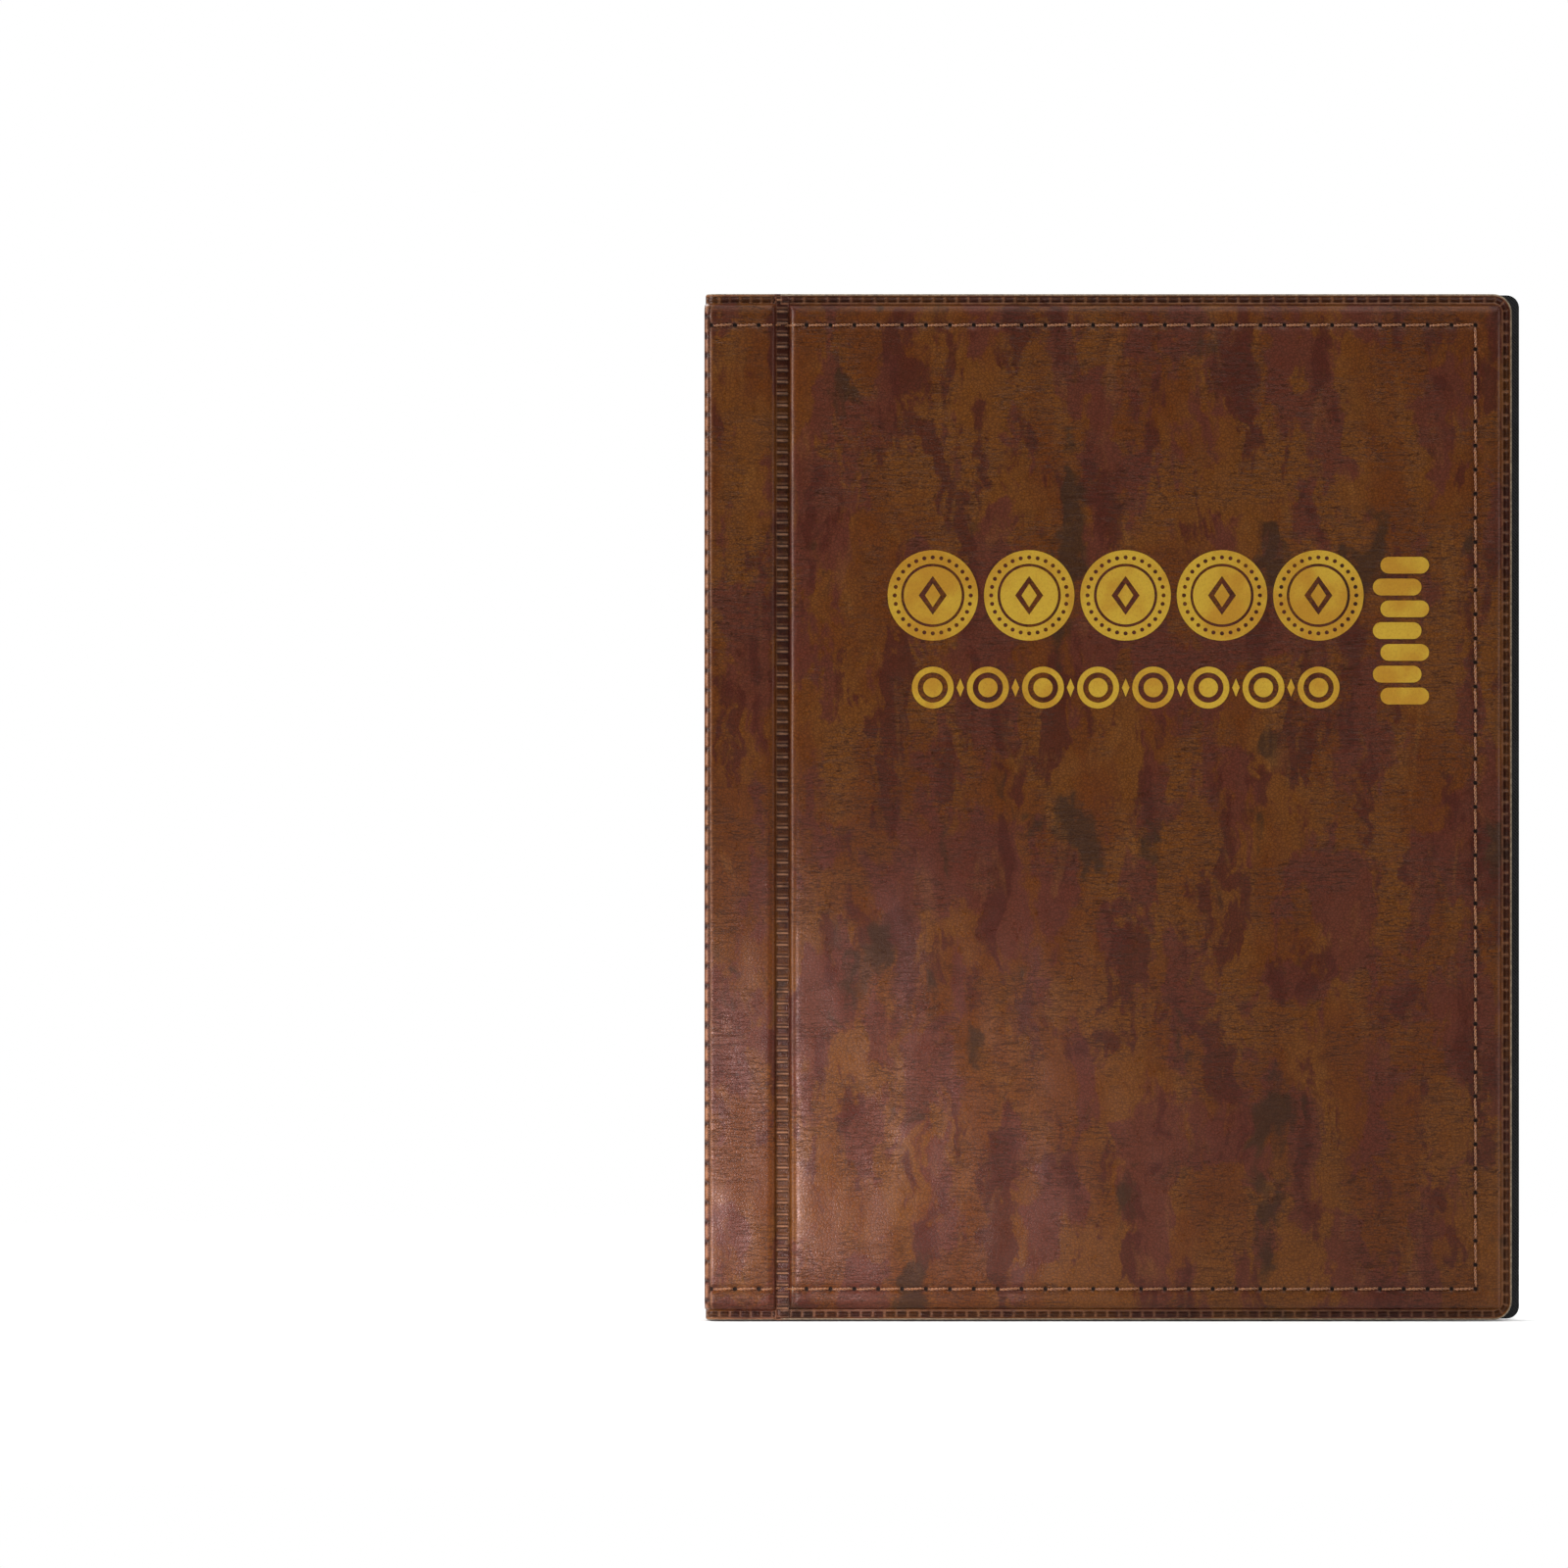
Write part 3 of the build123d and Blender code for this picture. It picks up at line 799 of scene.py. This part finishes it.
def hinge_ends(side):
    ends = place([(x, side * BORDER_LEVEL, HEIGHT / 2) for x in (WEB_START - 0.2, WEB_END + 0.15)])
    return {"start": tuple(ends[0]), "end": tuple(ends[1])}


def hinge_web(side):
    """The recessed groove that a cover bends at: leather outside, lining inside, one ladder weld, with painted shade
    in the groove and beside its rungs, and a painted highlight on the rungs.
    """
    x_outer = np.linspace(WEB_START - 0.7, WEB_END + 0.7, 27)
    x_inner = x_outer[::-2]
    inside = band(x_outer, WEB_START + 0.3, WEB_END - 0.3, 0.3)
    beyond = np.maximum(np.maximum(WEB_START - x_outer, x_outer - WEB_END), 0)
    hidden = np.zeros(len(x_inner))
    xs = np.concatenate([x_outer, x_inner])
    base = np.append(BORDER_LEVEL - 0.04 - 0.3 * inside - 0.65 * beyond, hidden + LINING_FACE - 0.03)
    ridge = np.append(band(x_outer, WEB_START + 0.35, WEB_END - 0.35, 0.3), hidden)

    zs = np.linspace(0, HEIGHT, round(HEIGHT / LADDER_PITCH * WEB_STEPS) + 1)
    strong = rung(zs, LADDER_PITCH, 0.1, 0.28)
    rungs = np.maximum(strong, 0.35 * rung(zs - WEAK_RUNG, LADDER_PITCH, 0.08, 0.28))[:, None]
    # painted shadow in a band beside each rung
    beside = rung(zs, LADDER_PITCH, 0.45, 0.7)[:, None]
    outward = base + 0.26 * ridge * rungs
    # painted shade over the groove, darkest beside the rungs
    weld_shade = np.append(inside, hidden) * (0.35 + 0.45 * beside)
    # painted highlight, with some wear, on the rungs and along the crest at the strip's edge
    crest = np.append(hump(x_outer, WEB_START, 0.15), hidden)
    wear_and_highlight = 0.75 * ridge * rungs + 0.25 * crest
    grid = points_of(xs, side * outward, zs[:, None])
    rows, columns = outward.shape
    slots = np.append(np.tile(np.arange(columns) > len(x_outer) - 2, rows - 1), [1, 1])
    obj = make_object(f"{COVER[side]}_hinge_web", grid, tube_faces(rows, columns), [leather, lining], slots,
                      {"weld_shade": weld_shade, "wear_and_highlight": wear_and_highlight}, flip=side == FRONT)
    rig.blend(obj, BLOCK, COVER[side], **hinge_ends(side))
    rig.slot(obj, "leatherette")


SPINE_R = 2.0
END_ROUND = 3.0
END_X = 0.3  # how far the welded ends stand back from the spine's face
SPINE_INNER_X = 2.28
WALL_WIDTH = 2.35
WALL_POINTS, CORNER_POINTS, SPINE_POINTS = 12, 11, 19
FLAT_STEP = 0.31


def spine_outlines():
    """The spine leather's section over the boards, and in the welded ends, point for point."""
    up = np.linspace(0, 1, WALL_POINTS)
    wall_x = WEB_START + 0.05 - WALL_WIDTH * up
    foot = BORDER_LEVEL - 0.3
    wall = points_of(wall_x, foot + (LEATHER_TOP - foot) * roll(up, 1.0))
    wall_end = points_of(wall_x, foot + 0.3 * np.minimum(1, 4 * up))

    flat_x = np.arange(wall_x[-1] - FLAT_STEP, SPINE_R, -FLAT_STEP)
    flat = points_of(flat_x, LEATHER_TOP)
    nearness = (flat_x[0] - flat_x) / (flat_x[0] - SPINE_R)
    flat_end = points_of(flat_x + (END_X + END_ROUND - SPINE_R) * nearness, BORDER_LEVEL)

    turn = np.linspace(0, math.pi / 2, CORNER_POINTS + 2)[1:-1]
    quarter = points_of(1 - np.sin(turn), np.cos(turn) - 1)
    corner = quarter * SPINE_R + [0, LEATHER_TOP]
    corner_end = quarter * END_ROUND + [END_X, BORDER_LEVEL]

    across = np.linspace(-1, 1, SPINE_POINTS)
    spine = points_of(0, (LEATHER_TOP - SPINE_R) * across)
    spine_end = points_of(END_X, (BORDER_LEVEL - END_ROUND) * across)
    back = np.vstack([wall, flat, corner])
    back_end = np.vstack([wall_end, flat_end, corner_end])
    mirror = [1, -1]
    outline = np.vstack([back * mirror, spine, back[::-1]])
    at_ends = np.vstack([back_end * mirror, spine_end, back_end[::-1]])
    return outline, at_ends, len(back)


def spine_heights():
    """Heights of the spine's sections, close together at the welded ends and the stitches."""
    near_end = STITCH_LOW + 2.1
    fine = np.linspace(0, near_end, round(near_end / 0.2) + 1)
    step = SPINE_LADDER_PITCH / 10
    regular = np.arange(near_end + step, HEIGHT - near_end - step / 2, step)
    return np.concatenate([fine, regular, HEIGHT - fine[::-1]])


def outward_normals(outline):
    """Unit normals of a closed section, pointing away from its inside."""
    tangent = np.gradient(outline, axis=0)
    normal = points_of(tangent[:, 1], -tangent[:, 0])
    normal /= np.linalg.norm(normal, axis=1)[:, None]
    inside = [STRIP_END / 2, 0]
    return normal * np.sign((normal * (outline - inside)).sum(1))[:, None]


def spine_ladder(from_edge, zs):
    """Rounded cells sunk in the spine's front edge; from_edge is measured round the section. Their outline and rungs
    take painted shade, and the rounded edge takes a painted highlight, with some wear, where a side light catches it.
    """
    away = np.abs(from_edge)
    frame_line = hump(away, 1.05, 0.18)
    cell_rungs = rung(zs, SPINE_LADDER_PITCH, 0.15, 0.55)[:, None]
    in_cell = 1 - rung(zs, SPINE_LADDER_PITCH, 0.7, 0.95)[:, None]
    # painted shade on the cells' outline and rungs
    weld_shade = np.maximum(frame_line, cell_rungs * (1 - smoothstep(0.95, 1.1, away)))
    # painted highlight, with some wear, on the cells' middles along the rounded edge and on a line beside it
    wear_and_highlight = 0.5 * in_cell * hump(away, 0, 0.5) + 0.3 * hump(from_edge, -1.4, 0.22)
    return weld_shade, wear_and_highlight


def spine_end_ladder(from_end, along, half_length):
    """The small ladder in the strips' welded ends: (dip, weld_shade, wear_and_highlight), the last two being painted
    shade in the cells and a painted highlight with some wear on the rungs and the lip.
    """
    middle = along[-1] / 2
    on_strips = smoothstep(0.0, 1.0, np.abs(along - middle) - (middle - half_length - 1))
    from_end = from_end[:, None]
    in_ladder, rungs, weld_shade, wear_and_highlight = border_ladder(from_end, along - middle)
    # painted highlight along the raised lip of the welded end
    wear_and_highlight = np.maximum(wear_and_highlight, 0.5 * hump(from_end, LIP_INSET, 0.2))
    dip = CELL_HEIGHT * hump(from_end, 1.4, 0.55) * rungs * in_ladder
    dip = dip + 0.2 * (band(from_end, 0.6, 0.95, 0.15) + band(from_end, 1.85, 2.2, 0.15))
    return dip * on_strips, weld_shade * on_strips, wear_and_highlight * on_strips


def spine_inside():
    """The points that close the spine's section on the inside, next to the lining."""
    reach = LINING_OUTER + 0.01
    back = np.array([(x, reach) for x in (STRIP_END + 0.1, STRIP_END / 2, SPINE_INNER_X)])
    return np.vstack([back, back[::-1] * [1, -1]])


def spine_leather():
    """The wrap round the spine with both binding strips, its welded ends and its own ladder."""
    outline, at_ends, half = spine_outlines()
    normal = outward_normals(outline)
    along = lengths_along(outline)
    zs = spine_heights()
    from_end = np.minimum(zs, HEIGHT - zs)
    rise = roll(from_end - PANEL_BOTTOM + 0.2, ROLL)[:, None]
    section = at_ends + (outline - at_ends) * rise[..., None]

    front_edge = along[half - CORNER_POINTS // 2]
    weld_shade, wear_and_highlight = spine_ladder(along - front_edge, zs)
    dip, end_weld_shade, end_wear_and_highlight = spine_end_ladder(from_end, along, along[half])
    dip += 0.2 * weld_shade * rise
    # painted shade, and a painted highlight with some wear, from the spine's ladder and the welded ends
    weld_shade = np.maximum(weld_shade * rise, end_weld_shade)
    wear_and_highlight = np.maximum(wear_and_highlight * rise, end_wear_and_highlight)

    on_strip = np.abs(outline[:, 1]) > LEATHER_TOP - 0.4
    pull = pulled(outline[:, 0], strip_holes)
    for row in LEVEL_ROWS:
        dip += valley((zs - row)[:, None], pull) * on_strip
    x, z = np.meshgrid(outline[:, 0], zs)
    hole = needle_dips(x, z, level_holes(strip_holes)) * on_strip
    dip += 0.25 * hole + 0.3 * (1 - smoothstep(0, 0.35, from_end))[:, None]
    leather_side = section - normal * dip[..., None]

    inside = spine_inside()
    count = len(inside)
    rows = len(zs)
    full = np.concatenate([leather_side, np.broadcast_to(inside, (rows, count, 2))], 1)
    columns = full.shape[1]
    grid = points_of(full[..., 0], full[..., 1], zs[:, None])
    skin, cut = [0] * columns, [1] * columns
    slots = cut + skin * (rows - 3) + cut + [2, 2]
    layers = {"hole": hole, "weld_shade": weld_shade, "wear_and_highlight": wear_and_highlight}
    padded = {name: np.pad(values, ((0, 0), (0, count))) for name, values in layers.items()}
    obj = make_object("spine_leather", grid, tube_faces(rows, columns), [leather, cut_edge, lining],
                      slots, padded)
    settle(obj, BLOCK, "leatherette", "spine_skin")


# ---------------- stitches


HOLE_GAP = 0.45
THREAD_LEVEL = LEATHER_TOP - 0.1


def twisted_stitch(plies=2, turns=2.5, ply_r=0.2, helix_r=0.15, sides=7, steps=22):
    """One stitch as (along, sideways, outward) points: plies twisted together, ends pulled in."""
    u = np.linspace(0, 1, steps)[:, None]
    lift = -0.62 + 0.62 * np.sin(math.pi * u) ** 0.45
    radius = ply_r * (0.75 + 0.25 * np.sin(math.pi * u) ** 0.4)
    ring = np.linspace(0, 2 * math.pi, sides, endpoint=False)
    parts = []
    for ply in range(plies):
        turn = 2 * math.pi * (turns * u + ply / plies)
        sideways = helix_r * np.cos(turn) + radius * np.cos(ring)
        outward = helix_r * np.sin(turn) * 0.8 + lift + radius * np.sin(ring)
        grid = points_of(u, sideways, outward)
        parts.append((grid.reshape(-1, 3), tube_faces(steps, sides), []))
    return joined(parts)[:2]


def in_groove(x):
    """1 over the hinge groove and 0 over the padded parts beside it."""
    down = smoothstep(STRIP_END - 1.6, WEB_START + 0.5, x)
    return down * (1 - smoothstep(PANEL_START - 0.6, PANEL_START + 1.5, x))


def stitch_object(name, side, runs, level, material, unit, sag=0.0):
    """Stitches on one side of the album, a copy of the unit stitch along each run."""
    base, base_faces = unit
    parts = []
    for start, end in np.array(runs):
        direction = (end - start) / np.linalg.norm(end - start)
        sideways = np.array([-direction[1], direction[0]])
        shift = (base[:, 0] - 0.5) * (0.24 + rng.uniform(-0.1, 0.1))
        flat = start + base[:, :1] * (end - start) + (base[:, 1] + shift)[:, None] * sideways
        outward = level + base[:, 2] - sag * in_groove(flat[:, 0])
        parts.append((points_of(flat[:, 0], side * outward, flat[:, 1]), base_faces, []))
    points, faces, _ = joined(parts)
    return make_object(name, points, faces, [material], flip=side == FRONT)


def between_holes(holes):
    """Where each stitch of a row starts and ends, a little short of its needle holes."""
    return [(a + HOLE_GAP, b - HOLE_GAP) for a, b in zip(holes[:-1], holes[1:])]


def level_rows(holes):
    """The stitches of the bottom and the top row, as (start, end) pairs of (x, z) points."""
    return [((a, z), (b, z)) for z in LEVEL_ROWS for a, b in between_holes(holes)]


def cover_stitches(side):
    """A cover's three rows: tan thread on the leather, fine black thread on the lining."""
    upright_row = [((STITCH_RIGHT, a), (STITCH_RIGHT, b)) for a, b in between_holes(upright_holes)]
    runs = upright_row + level_rows(across_holes)
    name = COVER[side]
    outer = stitch_object(f"{name}_stitches", side, runs, THREAD_LEVEL, thread, twisted_stitch())
    settle(outer, name, "thread", f"{name}_stitching")
    fine = twisted_stitch(ply_r=0.14, helix_r=0.1, sides=6, steps=14)
    inward = (fine[0] * [1, 1, -1], [face[::-1] for face in fine[1]])
    inner = stitch_object(f"{name}_inner_stitches", side, runs, LINING_FACE - 0.1, dark_thread, inward)
    settle(inner, name, "thread")


def groove_stitches(side):
    """The stitches that cross the groove, sagging into it and bending with it."""
    runs = level_rows([strip_holes[-1], groove_hole, across_holes[0]])
    unit = twisted_stitch(turns=3.0, steps=34)
    obj = stitch_object(f"{COVER[side]}_groove_stitches", side, runs, THREAD_LEVEL, thread, unit, sag=2.0)
    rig.blend(obj, BLOCK, COVER[side], **hinge_ends(side))
    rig.slot(obj, "thread")


def strip_stitches(side):
    """The stitches across a binding strip, in line with its cover's rows."""
    name = {FRONT: "front_strip_stitches", BACK: "back_strip_stitches"}[side]
    obj = stitch_object(name, side, level_rows(strip_holes), THREAD_LEVEL, thread, twisted_stitch())
    settle(obj, BLOCK, "thread", "strip_stitching" if side == FRONT else None)


# ---------------- pages

page_joints = [j for j in frame["joints"] if j["name"].startswith("page_")]
FILM_BACK = box_mm("page_01_film")[1][1]
WELDS_LOW, WELDS_HIGH = box_mm("page_01_pockets")
WELD_WIDTH = 2.1
COLUMNS, ROWS = 4, 5
POCKET_WIDTH = (WELDS_HIGH[0] - WELDS_LOW[0] - WELD_WIDTH) / COLUMNS
POCKET_HEIGHT = (WELDS_HIGH[2] - WELDS_LOW[2] - WELD_WIDTH) / ROWS
POCKETS_START = WELDS_LOW[0] + WELD_WIDTH / 2
FIRST_ROW_WELD = WELDS_LOW[2] + WELD_WIDTH / 2
POCKET_MOUTH = 0.15
CLAMP_END = box_mm("front_clamp_strip")[1][0]
WAVE_START = 28.0
BITE_PITCH = 2.0
WELD_SLOT = 2


def page_wave(points):
    """Film lies in slow waves. Every page takes the same ones, so that they nest."""
    x, z = points[:, 0], points[:, 2]
    wave = 0.3 * np.sin(x / 17 + 0.9 * np.sin(z / 31)) + 0.2 * np.sin(z / 13 + x / 41)
    waved = np.array(points, float)
    waved[:, 1] += wave * smoothstep(WAVE_START, WAVE_START + 25, x)
    return waved


def closed_sheet(back, front):
    """A closed sheet between two grids of points; its narrow sides get slot 1."""
    rows, columns = back.shape[:2]
    count = rows * columns
    quads = grid_faces(rows, columns)
    rim = rim_of(rows, columns)
    after = np.roll(rim, -1)
    sides = np.stack([rim, after, after + count, rim + count], -1)
    faces = np.vstack([quads, quads[:, ::-1] + count, sides])
    slots = np.concatenate([np.zeros(2 * len(quads), int), np.ones(len(sides), int)])
    return np.vstack([back.reshape(-1, 3), front.reshape(-1, 3)]), faces, slots


def flat_sheet(xs, zs, y_back, y_front):
    """A closed sheet between two y levels."""
    back, front = (points_of(xs, y, zs[:, None]) for y in (y_back, y_front))
    return closed_sheet(back, front)


def base_film(joint):
    """A page's base film, from the clamp strips round its bend line to its free edge."""
    name = joint["child"]
    bend = joint["pos_m"][0] / MM - SPINE_X
    y_middle = joint["pos_m"][1] / MM
    low, high = box_mm(f"{name}_film")
    near = bend + np.linspace(-1.0, 1.2, 15)
    xs = np.concatenate([[CLAMP_END - 0.9], near, np.linspace(WELDS_LOW[0] + 0.4, high[0], 42)])
    zs = np.linspace(low[2], high[2], 40)
    points, faces, slots = flat_sheet(merge_lines(xs, 0.05), zs, high[1], low[1])
    obj = make_object(f"{name}_sheet", page_wave(points), faces, [film, edge_film], slots)
    start, end = place([(bend + reach, y_middle, HEIGHT / 2) for reach in (-0.9, 0.9)])
    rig.blend(obj, BLOCK, name, start=tuple(start), end=tuple(end))
    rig.slot(obj, "clear_film")
    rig.replaces(obj, f"{name}_film")


def weld_strip(start, end, low_y, high_y):
    """One welded seam on a film, with the slanting bites that the tool leaves in it."""
    start, end = np.array(start, float), np.array(end, float)
    length = np.linalg.norm(end - start)
    direction = (end - start) / length
    sideways = np.array([-direction[1], direction[0]])
    along = np.linspace(0, length, max(3, int(length / 0.42)))
    across = np.array([-1, -0.72, -0.3, 0.3, 0.72, 1.0])
    a, c = np.meshgrid(along, across, indexing="ij")
    bite = 0.5 + 0.5 * np.cos(2 * math.pi * (a / BITE_PITCH + 0.35 * np.abs(c)))
    body = 1 - 0.72 * np.abs(c) ** 3
    height = (high_y - low_y) * np.clip(body * (0.45 + 0.55 * bite), 0.05, 1)
    ragged = 1 + 0.16 * np.cos(2 * math.pi * a / BITE_PITCH) * (np.abs(c) > 0.9)
    flat = start + a[..., None] * direction + (c * ragged * WELD_WIDTH / 2)[..., None] * sideways
    top = points_of(flat[..., 0], high_y - height, flat[..., 1])
    under = top[:, [-1, 0]] * [1, 0, 1] + [0, high_y, 0]
    grid = np.concatenate([top, under], 1)
    rows, columns = grid.shape[:2]
    faces = tube_faces(rows, columns)
    return grid.reshape(-1, 3), faces, [WELD_SLOT] * len(faces)


def bowed_pocket(bottom, mouth, y_back, y_front):
    """One row's pocket film, from its weld up to its open mouths, bowed a little in each pocket."""
    xs = np.linspace(WELDS_LOW[0] + 0.4, WELDS_HIGH[0] - 0.4, 33)
    points, faces, slots = flat_sheet(xs, np.linspace(bottom, mouth, 9), y_back, y_front)
    column = ((points[:, 0] - POCKETS_START) / POCKET_WIDTH) % 1
    points[:, 1] -= 0.035 * np.sin(math.pi * column) * smoothstep(bottom, bottom + 14, points[:, 2])
    return points, faces.tolist(), slots.tolist()


def pocket_layer():
    """A page's pocket films and welded seams, as (points, faces, slots) round the page's own y = 0."""
    middle = (WELDS_LOW[1] + FILM_BACK) / 2
    back, front = WELDS_HIGH[1] - middle, WELDS_LOW[1] - middle
    row_z = FIRST_ROW_WELD + POCKET_HEIGHT * np.arange(ROWS + 1)
    column_x = POCKETS_START + POCKET_WIDTH * np.arange(COLUMNS + 1)
    to_mouth = (1 - POCKET_MOUTH) * POCKET_HEIGHT
    parts = [bowed_pocket(z, z + to_mouth, front + 0.1, front + 0.02) for z in row_z[:-1]]
    parts += [weld_strip((WELDS_LOW[0], z), (WELDS_HIGH[0], z), front, back) for z in row_z]
    for x in column_x:
        parts += [weld_strip((x, z + 0.8), (x, z + to_mouth + 0.5), front, back) for z in row_z[:-1]]
    return joined(parts)


FLAP_LEFT, FLAP_RIGHT = 0.075, 0.975  # in parts of a pocket's width
FLAP_TOP, FLAP_DEPTH = 0.018, 0.285  # in parts of its height
RIM_PART = 0.965


def flap_curve():
    """A flap's outline in parts of a pocket, across and down: round at the left, an S at the right."""
    across = FLAP_LEFT + (FLAP_RIGHT - FLAP_LEFT) * np.linspace(0, 1, 40) ** 1.4
    corner = roll(across - FLAP_LEFT, 0.18)
    down = FLAP_TOP + 0.002 + FLAP_DEPTH * corner * (1 - smoothstep(0.62, 0.93, across))
    return points_of(across, down)


def one_flap():
    """A flap with a thickened rim, in parts of a pocket across and down, and y in millimetres."""
    curve = flap_curve()
    top = points_of(curve[:, 0], FLAP_TOP)
    steps = np.append(np.linspace(0, 0.93, 5), [RIM_PART, 1.0])
    flat = top + (curve - top) * steps[:, None, None]
    front_y = np.where(steps == RIM_PART, -0.07, -0.03)[:, None]
    back, front = (points_of(flat[..., 0], y, flat[..., 1]) for y in (0.045, front_y))
    points, faces, slots = closed_sheet(back, front)
    on_rim = np.repeat(np.arange(len(steps) - 1) > len(steps) - 4, len(curve) - 1)
    slots[:2 * len(on_rim)] = np.tile(on_rim, 2)
    return points, faces[:, ::-1].tolist(), slots.tolist()


def flap_layer():
    """Twenty tuck-in flaps, as (points, faces, slots) round the page's y = 0."""
    flap, faces, slots = one_flap()
    parts = []
    for row in range(ROWS):
        for column in range(COLUMNS):
            corner = np.array([POCKETS_START + column * POCKET_WIDTH, 0,
                               FIRST_ROW_WELD + (row + 1) * POCKET_HEIGHT])
            parts.append((corner + flap * [POCKET_WIDTH, 1, -POCKET_HEIGHT], faces, slots))
    return joined(parts)


def pages():
    """Ten pages. The pocket and flap meshes are shared, and each page's objects are shifted in y."""
    layers = {"pockets": pocket_layer(), "flaps": flap_layer()}
    films = {"pockets": [film, edge_film, weld_film], "flaps": [flap_film, edge_film]}
    shared = {}
    for joint in page_joints:
        name = joint["child"]
        base_film(joint)
        for kind, (points, faces, slots) in layers.items():
            if kind not in shared:
                obj = make_object(f"{name}_{kind}_film", page_wave(points), faces, films[kind], slots)
                shared[kind] = obj.data
            else:
                obj = new_object(f"{name}_{kind}_film", shared[kind])
            obj.location = (0, joint["pos_m"][1], 0)
            settle(obj, name, "pocket_film", f"{name}_{kind}")


# ---------------- carried-over nodes


def set_material(node, material):
    """Gives a CAD node a material through its object's slots."""
    obj = frame["nodes"][node]
    if not obj.material_slots:
        obj.data.materials.append(material)
    for slot in obj.material_slots:
        slot.link = "OBJECT"
        slot.material = material


def carried_nodes():
    """Materials for the CAD nodes that stay as they are, each known by a part of its name."""
    finishes = {"_lining": cad_lining, "_padding": foam, "_board": greyboard, "_clamp": black_plastic,
                "binding_": brass, "_foil": gold, "_margins": edge_film}
    for node in frame["nodes"]:
        for part, material in finishes.items():
            if part in node:
                set_material(node, material)


# ---------------- stage


def add_light(data, location, target):
    """Puts a light at a place, pointing at the target."""
    light = new_object(data.name, data)
    light.location = location
    aim = Vector(target) - Vector(location)
    light.rotation_euler = aim.to_track_quat("-Z", "Y").to_euler()


def area_light(name, location, target, size, power):
    """A soft white panel; size is its width and height."""
    data = bpy.data.lights.new(name, "AREA")
    data.shape = "RECTANGLE"
    data.size, data.size_y = size
    data.energy = power
    add_light(data, location, target)


def spot_light(name, location, target, cone_degrees, power):
    """A narrow, faintly pink spotlight with a soft rim."""
    data = bpy.data.lights.new(name, "SPOT")
    data.energy = power
    data.color = (1.0, 0.93, 1.0)
    data.spot_size = math.radians(cone_degrees)
    data.spot_blend = 1.0
    data.shadow_soft_size = 0.04
    add_light(data, location, target)


FLOOR_REACH = 0.75


def pale_floor():
    """A floor that fades out with distance, so that no horizon shows."""
    s = Shader("pale_floor")
    at = s.node("TexCoord").outputs["Object"]
    shade = s.noise(at, 3.0, 3.0)
    colour = s.mix(s.between(shade, 0.3, 0.7), (0.88, 0.88, 0.88, 1), (0.92, 0.92, 0.92, 1))
    lit = s.node("BsdfDiffuse", {"Color": colour})
    clear = s.node("BsdfTransparent")
    away = s.node("VectorMath", {"Vector": at}, operation="LENGTH").outputs["Value"]
    s.finish(s.mix_shader(s.between(away, 0.25, FLOOR_REACH), lit, clear))
    mesh = bpy.data.meshes.new("floor")
    corners = [(x * FLOOR_REACH, y * FLOOR_REACH, 0) for x, y in ((-1, -1), (1, -1), (1, 1), (-1, 1))]
    mesh.from_pydata(corners, [], [(0, 1, 2, 3)])
    mesh.materials.append(s.material)
    floor = new_object("floor", mesh)
    floor.location.z = -0.0003
    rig.stage(floor)


def white_studio():
    """White surroundings: bright to the camera, softer to diffuse rays and dim in reflections."""
    world = bpy.data.worlds.new("studio")
    bpy.context.scene.world = world
    world.use_nodes = True
    tree = world.node_tree
    tree.nodes.clear()
    path = tree.nodes.new("ShaderNodeLightPath")

    def background(strength):
        made = tree.nodes.new("ShaderNodeBackground")
        made.inputs["Color"].default_value = (1, 1, 1, 1)
        made.inputs["Strength"].default_value = strength
        return made.outputs[0]

    shown = background(0.42)
    for strength, ray in ((0.1, "Is Glossy Ray"), (1.0, "Is Camera Ray")):
        pick = tree.nodes.new("ShaderNodeMixShader")
        tree.links.new(path.outputs[ray], pick.inputs[0])
        tree.links.new(shown, pick.inputs[1])
        tree.links.new(background(strength), pick.inputs[2])
        shown = pick.outputs[0]
    tree.links.new(shown, tree.nodes.new("ShaderNodeOutputWorld").inputs[0])


def lights():
    """Soft light from the front right and the left, and a narrow sheen on the lower left."""
    centre = (0, 0, 0.12)
    area_light("key", (0.55, -1.2, 1.5), centre, (1.2, 1.0), 17)
    area_light("left_rim", (-1.3, -0.3, 0.35), centre, (0.5, 1.2), 26)
    area_light("right_rim", (1.3, -0.2, 0.4), centre, (0.5, 1.0), 5)
    area_light("back_fill", (-0.5, 1.3, 1.2), centre, (1.2, 1.0), 15)
    area_light("top", (0.0, -0.1, 1.7), centre, (1.2, 1.0), 9)
    spot_light("left_sheen", (-0.34, -0.95, 0.02), (-0.076, 0, 0.025), 11, 41)


def front_camera():
    """A long lens square to the front cover, with the album right of the middle as in the photo."""
    distance = 3.0
    seen_width = 0.375
    data = bpy.data.cameras.new("camera")
    data.sensor_width = 36.0
    data.lens = data.sensor_width * distance / seen_width
    camera = new_object("camera", data)
    camera.location = (-0.0785, -distance, 0.128)
    camera.rotation_euler = (math.pi / 2, 0, 0)
    bpy.context.scene.camera = camera
    bpy.context.scene.view_settings.view_transform = "Standard"
    bpy.context.scene.cycles.transparent_max_bounces = 96


for cover_side in (FRONT, BACK):
    padded_panel(cover_side)
    welded_border(cover_side)
    hinge_web(cover_side)
    cover_stitches(cover_side)
    groove_stitches(cover_side)
    strip_stitches(cover_side)
spine_leather()
pages()
carried_nodes()
pale_floor()
white_studio()
lights()
front_camera()

low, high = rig.bounds()
boxes = {"cad": [list(cad_low), list(cad_high)], "visual": [list(low), list(high)]}
with open("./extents.json", "w") as size_file:
    json.dump(boxes, size_file)
